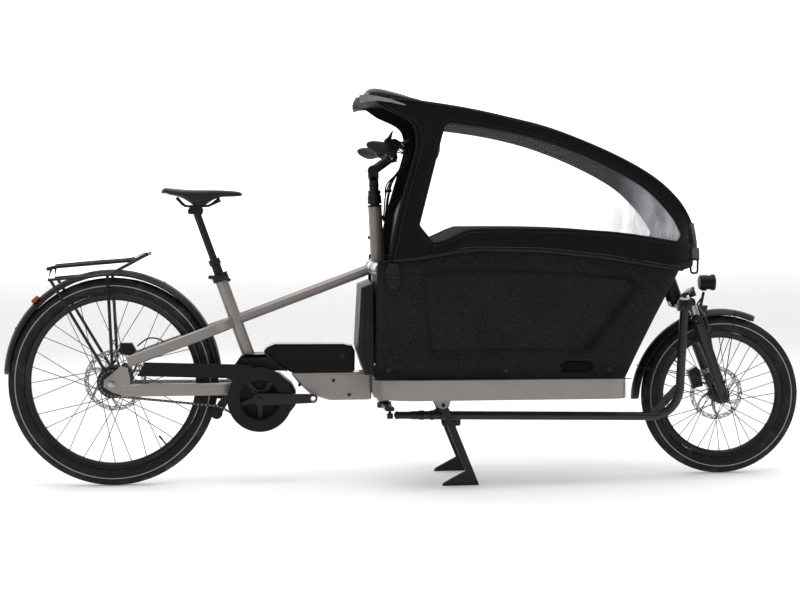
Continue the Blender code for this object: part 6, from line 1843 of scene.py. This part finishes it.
def rod_fittings():
    ball = Vector(JOINTS["rod_swing"]["pos_m"]) - SHIFT
    y = ball.y
    nuts = []
    for x, long in ((ball.x + 0.026, 0.008), (ball.x + 0.062, 0.010)):
        nuts.append(lathe([(0.0066, 0), (0.0098, 0), (0.0102, 0.001), (0.0102, long - 0.001),
                           (0.0098, long), (0.0066, long)],
                          Vector((x, y, 0.2282 - 0.012 * (x - ball.x))), Vector((1, 0, -0.012)), 6))
    nuts.append(lathe([(0.0142, 0), (0.0155, 0.001), (0.0155, 0.016), (0.0142, 0.017)],
                      Vector((0.986, y, 0.2270)),
                      Vector((1, 0, -0.022)), 28))
    nuts.append(lathe([(0.0142, 0), (0.0160, 0.001), (0.0160, 0.011), (0.0142, 0.012)],
                      Vector((1.022, y, 0.2262)),
                      Vector((1, 0, -0.022)), 28))
    nuts.append(bolt_head(Vector((1.028, y - 0.015, 0.2262)), -Y_AXIS, 0.0038, 0.0030))
    piece("rod_adjuster_nuts", merged(*nuts), BLACK, "rod", 35)
    sleeve = lathe([(0.0085, 0), (0.0125, 0.001), (0.0132, 0.006), (0.0118, 0.010), (0.0118, 0.050),
                    (0.0135, 0.054),
                       (0.0135, 0.085), (0.0118, 0.090), (0.0085, 0.091)],
                   Vector((ball.x + 0.016, y, 0.2278)),
                      Vector((1, 0, -0.012)), 30)
    piece("rod_adjuster_sleeve", merged(sleeve), BLACK, "rod", 35)
    screws = []
    for x, z in ((1.770, 0.2270), (1.797, 0.2530), (1.821, 0.2860)):
        screws.append(bolt_head(Vector((x, y - 0.005, z)), -Y_AXIS, 0.0040, 0.0026))
    piece("rod_gusset_screws", merged(*screws), BOLT, "rod", 35)
    top = Vector((1.8555, y - 0.012, 0.571))
    eye = [lathe([(0.0150, 0), (0.0165, 0.0006), (0.0165, 0.0020), (0.0095, 0.0030), (0, 0.0030)], top,
                 -Y_AXIS, 30),
           bolt_head(top - Y_AXIS * 0.0028, -Y_AXIS, 0.0060, 0.0032)]
    piece("rod_top_bolt", merged(*eye), BOLT, "rod", 35)


def stand_fittings():
    pivot = Vector(JOINTS["stand_fold"]["pos_m"]) - SHIFT
    ears, bolts, knobs = [], [], []
    for side in (-1, 1):
        outline = [(pivot.x - 0.036, 0.2905), (pivot.x + 0.034, 0.2905), (pivot.x + 0.012, 0.254),
                   (pivot.x, 0.2485),
                   (pivot.x - 0.012, 0.254)]
        low, high = sorted((side * 0.1610, side * 0.1655))
        ears.append(extrude(outline, low, high))
        bolts.append(bolt_head(Vector((pivot.x, side * 0.1655, pivot.z)), Y_AXIS * side, 0.0068, 0.0036))
        start = Vector((pivot.x + 0.010, side * 0.154, 0.205))
        knobs.append(lathe([(0.0075, 0), (0.0090, 0.002), (0.0090, 0.012), (0.0070, 0.015),
                            (0, 0.016)], start,
                           Vector((-1, 0, -0.35)), 20))
    piece("stand_ears", merged(*ears), PAINT, FRAME_BODY, 40, bevel=0.0008)
    piece("stand_pivot_bolts", merged(*bolts), BOLT, FRAME_BODY, 40)
    piece("stand_stops", merged(*knobs), RUBBER, "stand", 45)
    lights = []
    for side in (-1, 1):
        for edge in ((1.0500, 0.2600, 1.1340, 0.0500), (1.0742, 0.2600, 1.1745, 0.0040)):
            x0, z0, x1, z1 = edge
            lights.append(sweep([(x0, side * 0.1602, z0), (x1, side * 0.1602, z1)],
                                box_section(0.0030, 0.0018, 0.6, 2)))
        lights.append(sweep([(1.0585, side * 0.1602, 0.0030), (1.1745, side * 0.1602, 0.0040)],
                            box_section(0.0030, 0.0018, 0.6, 2)))
    piece("stand_leg_flanges", merged(*lights), DARK, "stand", 50)
    hub = [sweep([(1.1160, -0.040, 0.1960), (1.1160, 0.040, 0.1960)], box_section(0.030, 0.036, 0.5, 4)),
           lathe([(0.0100, -0.050), (0.0115, -0.048), (0.0115, 0.048), (0.0100, 0.050), (0, 0.050)],
                 Vector((1.0960, 0.0, 0.1960)), Y_AXIS, 24)]
    piece("stand_cross_hub", merged(*hub), DARK, "stand", 45)
    coils = []
    start, end = Vector((1.0750, 0.060, 0.2550)), Vector((1.1060, 0.060, 0.2060))
    ahead = (end - start).normalized()
    _, a, b = basis(ahead)
    path = []
    for k in range(12 * 14):
        turn = 2 * math.pi * k / 12
        path.append(start.lerp(end, k / (12 * 14)) + (a * math.cos(turn) + b * math.sin(turn)) * 0.0060)
    coils.append(tube(path, 0.0011, 6))
    piece("stand_spring", merged(*coils), STEEL, "stand", 60)


def motor_cover():
    """The black cover over the motor's mounting plate, between the seat tube and the battery."""
    outline = [(0.405, 0.3480), (0.4120, 0.3590), (0.4400, 0.3665), (0.4750, 0.3700), (0.5580, 0.3705),
               (0.5640, 0.3660),
               (0.5660, 0.3720), (0.5010, 0.4200), (0.4960, 0.4240), (0.4280, 0.4250), (0.4180, 0.4200),
               (0.3900, 0.3820)]
    covers = [extrude(outline, -0.0475, -0.0424), extrude(outline, 0.0524, 0.0575),
              extrude([(0.4180, 0.4140), (0.5000, 0.4140), (0.4960, 0.4245), (0.4260, 0.4250)],
                      -0.0475, 0.0575)]
    piece("motor_cover", merged(*covers), PLASTIC, FRAME_BODY, 40, bevel=0.0012)
    screws = [bolt_head(Vector((x, -0.0475, z)), -Y_AXIS, 0.0040, 0.0024)
              for x, z in ((0.430, 0.405), (0.490, 0.408))]
    piece("motor_cover_screws", merged(*screws), BOLT, FRAME_BODY, 35)


def saddle_rails():
    rails = []
    for side in (-1, 1):
        path = rounded([(0.214, side * 0.027, 0.9360), (0.239, side * 0.024, 0.9075),
                        (0.320, side * 0.022, 0.9075),
                        (0.352, side * 0.014, 0.9330)], 0.012, 4)
        rails.append(tube(path, 0.0042, 14))
    piece("saddle_rail_sleeves", merged(*rails), BLACK, "saddle_post", 50)


def frame_fittings():
    """Bolts and cover lines on the beam, the seat clamp's lever, the box's corner brackets and fittings on
    the fork.
    """
    low, high = (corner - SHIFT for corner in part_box("lower_beam"))
    bolts = []
    for side, y in ((-1, low.y), (1, high.y)):
        for x, z in ((0.604, 0.3230), (0.714, 0.3360), (0.765, 0.2880)):
            bolts.append(bolt_head(Vector((x, y + side * 0.0002, z)), Y_AXIS * side, 0.0056, 0.0030))
    piece("beam_bolts", merged(*bolts), BOLT, FRAME_BODY, 35)
    battery_low, battery_high = (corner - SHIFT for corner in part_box("battery"))
    lines = []
    for y in (battery_low.y, battery_high.y):
        side = -1 if y < 0 else 1
        lines.append(sweep([(0.560, y + side * 0.0001, 0.3900), (0.780, y + side * 0.0001, 0.3880)],
                           box_section(0.0014, 0.0010, 0.5, 1)))
    piece("battery_lines", merged(*lines), SEAM_AND_SHADE, "battery", 50)
    lock = lathe([(0.0095, 0), (0.0100, 0.001), (0.0085, 0.0024), (0.0035, 0.0024), (0.0032, 0.0010),
                  (0, 0.0010)],
                 Vector((0.746, battery_low.y, 0.4150)), -Y_AXIS, 28)
    piece("battery_lock", lock, BLACK, "battery", 40)
    cover = []
    for side in (-1, 1):
        y = side * 0.1652
        path = [(0.800, 0.642), (0.8160, 0.636), (0.8100, 0.440), (0.8260, 0.3660)]
        cover.append(sweep([(x, y, z) for x, z in path], box_section(0.0016, 0.0012, 0.5, 1)))
    piece("rear_cover_lines", merged(*cover), SEAM_AND_SHADE, FRAME_BODY, 50)
    corner = []
    for side in (-1, 1):
        for path in (((0.846, 0.3680), (0.846, 0.3840), (0.905, 0.3850), (0.913, 0.3800), (0.913, 0.3640)),
                     ((0.863, 0.3660), (0.863, 0.3830))):
            corner.append(sweep(rounded([(x, side * (outer_y(x, z) - 0.0072), z) for x, z in path],
                                        0.006, 4),
                                box_section(0.0030, 0.0016, 0.5, 1)))
    piece("corner_fitting_lines", merged(*corner), SEAM_AND_SHADE, FRAME_BODY, 50)
    seat = Vector((0.3505, 0.0, 0.676))
    lever = sweep([seat + Vector((-0.037, -0.026, 0.001)), seat + Vector((-0.012, -0.036, -0.001)),
                   seat + Vector((0.020, -0.0395, -0.004)), seat + Vector((0.034, -0.0370, -0.010))],
                  box_section(0.0055, 0.0105, 0.8, 3))
    piece("seat_lever_blade", lever, BLACK, FRAME_BODY, 45)
    fork_caps = []
    for side in (-1, 1):
        y = side * 0.066
        fork_caps.append(ring_lathe([(0.0140, 0.2575), (0.0200, 0.2575), (0.0205, 0.2600), (0.0165, 0.2660),
                                     (0.0140, 0.2660)],
                                    on_fork(0.0, 0.035, y), FORK_UP, 30))
    piece("fork_wipers", merged(*fork_caps), RUBBER, "fork_legs", 50)
    tubes = []
    for side in (-1, 1):
        tubes.append(lathe([(0.01382, 0.262), (0.01382, 0.320)], on_fork(0.0, 0.035, side * 0.066),
                           FORK_UP, 30))
    piece("stanchion_sleeves", merged(*tubes), STEEL, "fork", 60)
    bracket = extrude([(1.929, 0.5620), (1.958, 0.5625), (1.953, 0.5410), (1.946, 0.5100), (1.938, 0.4940),
                       (1.928, 0.5000),
                       (1.934, 0.5220)], -0.0340, 0.0340)
    piece("front_guard_bracket", bracket, DARK, "fork_legs", 40, bevel=0.002)
    arm = rounded([(1.9510, 0.0, 0.6060), (1.9480, 0.0, 0.5900), (1.9270, -0.004, 0.5640),
                   (1.9230, -0.008, 0.5440)], 0.010, 4)
    piece("lamp_arm", merged(sweep(arm, box_section(0.0100, 0.0055, 0.6, 3)),
                             bolt_head(Vector((1.9490, -0.0050, 0.5960)), -Y_AXIS, 0.0040, 0.0026)), BLACK,
          "fork_legs", 45)
    blocks = []
    for side in (-1, 1):
        root = on_fork(0.270, 0.035, side * 0.066)
        blocks.append(sweep([root + Vector((-0.004, 0, -0.004)), root + Vector((0.004, 0, 0.016))],
                            box_section(0.030, 0.034, 0.5, 3)))
    piece("fork_stanchion_roots", merged(*blocks), BLACK, "fork_legs", 45)


cables()
column_fittings()
control_bodies()
rod_fittings()
stand_fittings()
motor_cover()
saddle_rails()
frame_fittings()


# ---------------------------------------------------------------- floor, light and camera
def plain_material(name, colour, rough):
    made = bpy.data.materials.new(name)
    made.use_nodes = True
    shader = made.node_tree.nodes["Principled BSDF"]
    shader.inputs["Base Color"].default_value = (*colour, 1.0)
    shader.inputs["Roughness"].default_value = rough
    shader.inputs["Specular IOR Level"].default_value = 0.1
    return made


def stage():
    mesh = bpy.data.meshes.new("floor")
    reach = 60.0
    mesh.from_pydata([(-reach, -reach, 0), (reach, -reach, 0), (reach, reach, 0), (-reach, reach, 0)], [],
                     [[0, 1, 2, 3]])
    ground = plain_material("floor_look", (0.90, 0.90, 0.90), 0.9)
    shader = ground.node_tree.nodes["Principled BSDF"]
    shader.inputs["Emission Color"].default_value = (1.0, 1.0, 1.0, 1.0)
    shader.inputs["Emission Strength"].default_value = 0.20
    mesh.materials.append(ground)
    floor = bpy.data.objects.new("floor", mesh)
    bpy.context.scene.collection.objects.link(floor)
    backdrop = plain_material("backdrop_look", (1.0, 1.0, 1.0), 1.0)
    shader = backdrop.node_tree.nodes["Principled BSDF"]
    shader.inputs["Emission Color"].default_value = (1.0, 1.0, 1.0, 1.0)
    shader.inputs["Emission Strength"].default_value = 1.0
    wall = bpy.data.meshes.new("backdrop")
    wall.from_pydata([(-reach, 16.0, -1.0), (reach, 16.0, -1.0), (reach, 16.0, 40.0),
                      (-reach, 16.0, 40.0)], [],
                     [[0, 1, 2, 3]])
    wall.materials.append(backdrop)
    screen = bpy.data.objects.new("backdrop", wall)
    bpy.context.scene.collection.objects.link(screen)
    world = bpy.data.worlds.new("studio")
    bpy.context.scene.world = world
    world.use_nodes = True
    background = world.node_tree.nodes["Background"]
    background.inputs["Color"].default_value = (1.0, 1.0, 1.0, 1.0)
    background.inputs["Strength"].default_value = 0.20


def area_light(name, place, target, size, power, tall=None):
    data = bpy.data.lights.new(name, "AREA")
    data.shape = "RECTANGLE"
    data.size = size
    data.size_y = tall or size
    data.energy = power
    light = bpy.data.objects.new(name, data)
    bpy.context.scene.collection.objects.link(light)
    light.location = place
    light.rotation_euler = (Vector(target) - Vector(place)).to_track_quat("-Z", "Y").to_euler()
    return light


def camera():
    data = bpy.data.cameras.new("camera")
    data.sensor_width = 36.0
    data.lens = 76.9
    data.clip_end = 200.0
    yaw, pitch, roll = 0.067781, 0.056122, -0.010163
    ahead = Vector((math.sin(yaw) * math.cos(pitch), math.cos(yaw) * math.cos(pitch), -math.sin(pitch)))
    right = Vector((math.cos(yaw), -math.sin(yaw), 0.0))
    up = right.cross(ahead)
    turned_right = right * math.cos(roll) + up * math.sin(roll)
    turned_up = up * math.cos(roll) - right * math.sin(roll)
    pose = Matrix((turned_right, turned_up, -ahead)).transposed().to_4x4()
    pose.translation = Vector((-0.3993, -5.6, 0.9080))
    made = bpy.data.objects.new("camera", data)
    bpy.context.scene.collection.objects.link(made)
    made.matrix_world = pose
    bpy.context.scene.camera = made


stage()
area_light("overhead", (0.0, -0.6, 4.2), (0.0, -0.1, 0.0), 5.5, 150.0, 3.2)
area_light("front_left", (-3.6, -4.2, 2.6), (-0.2, 0.0, 0.5), 1.6, 26.0, 2.2)
area_light("front_right", (3.8, -3.6, 2.2), (0.3, 0.0, 0.5), 1.4, 18.0, 2.0)
area_light("behind", (0.4, 4.2, 2.4), (0.0, 0.0, 0.7), 3.2, 20.0)
camera()
bpy.context.scene.view_settings.view_transform = "Standard"
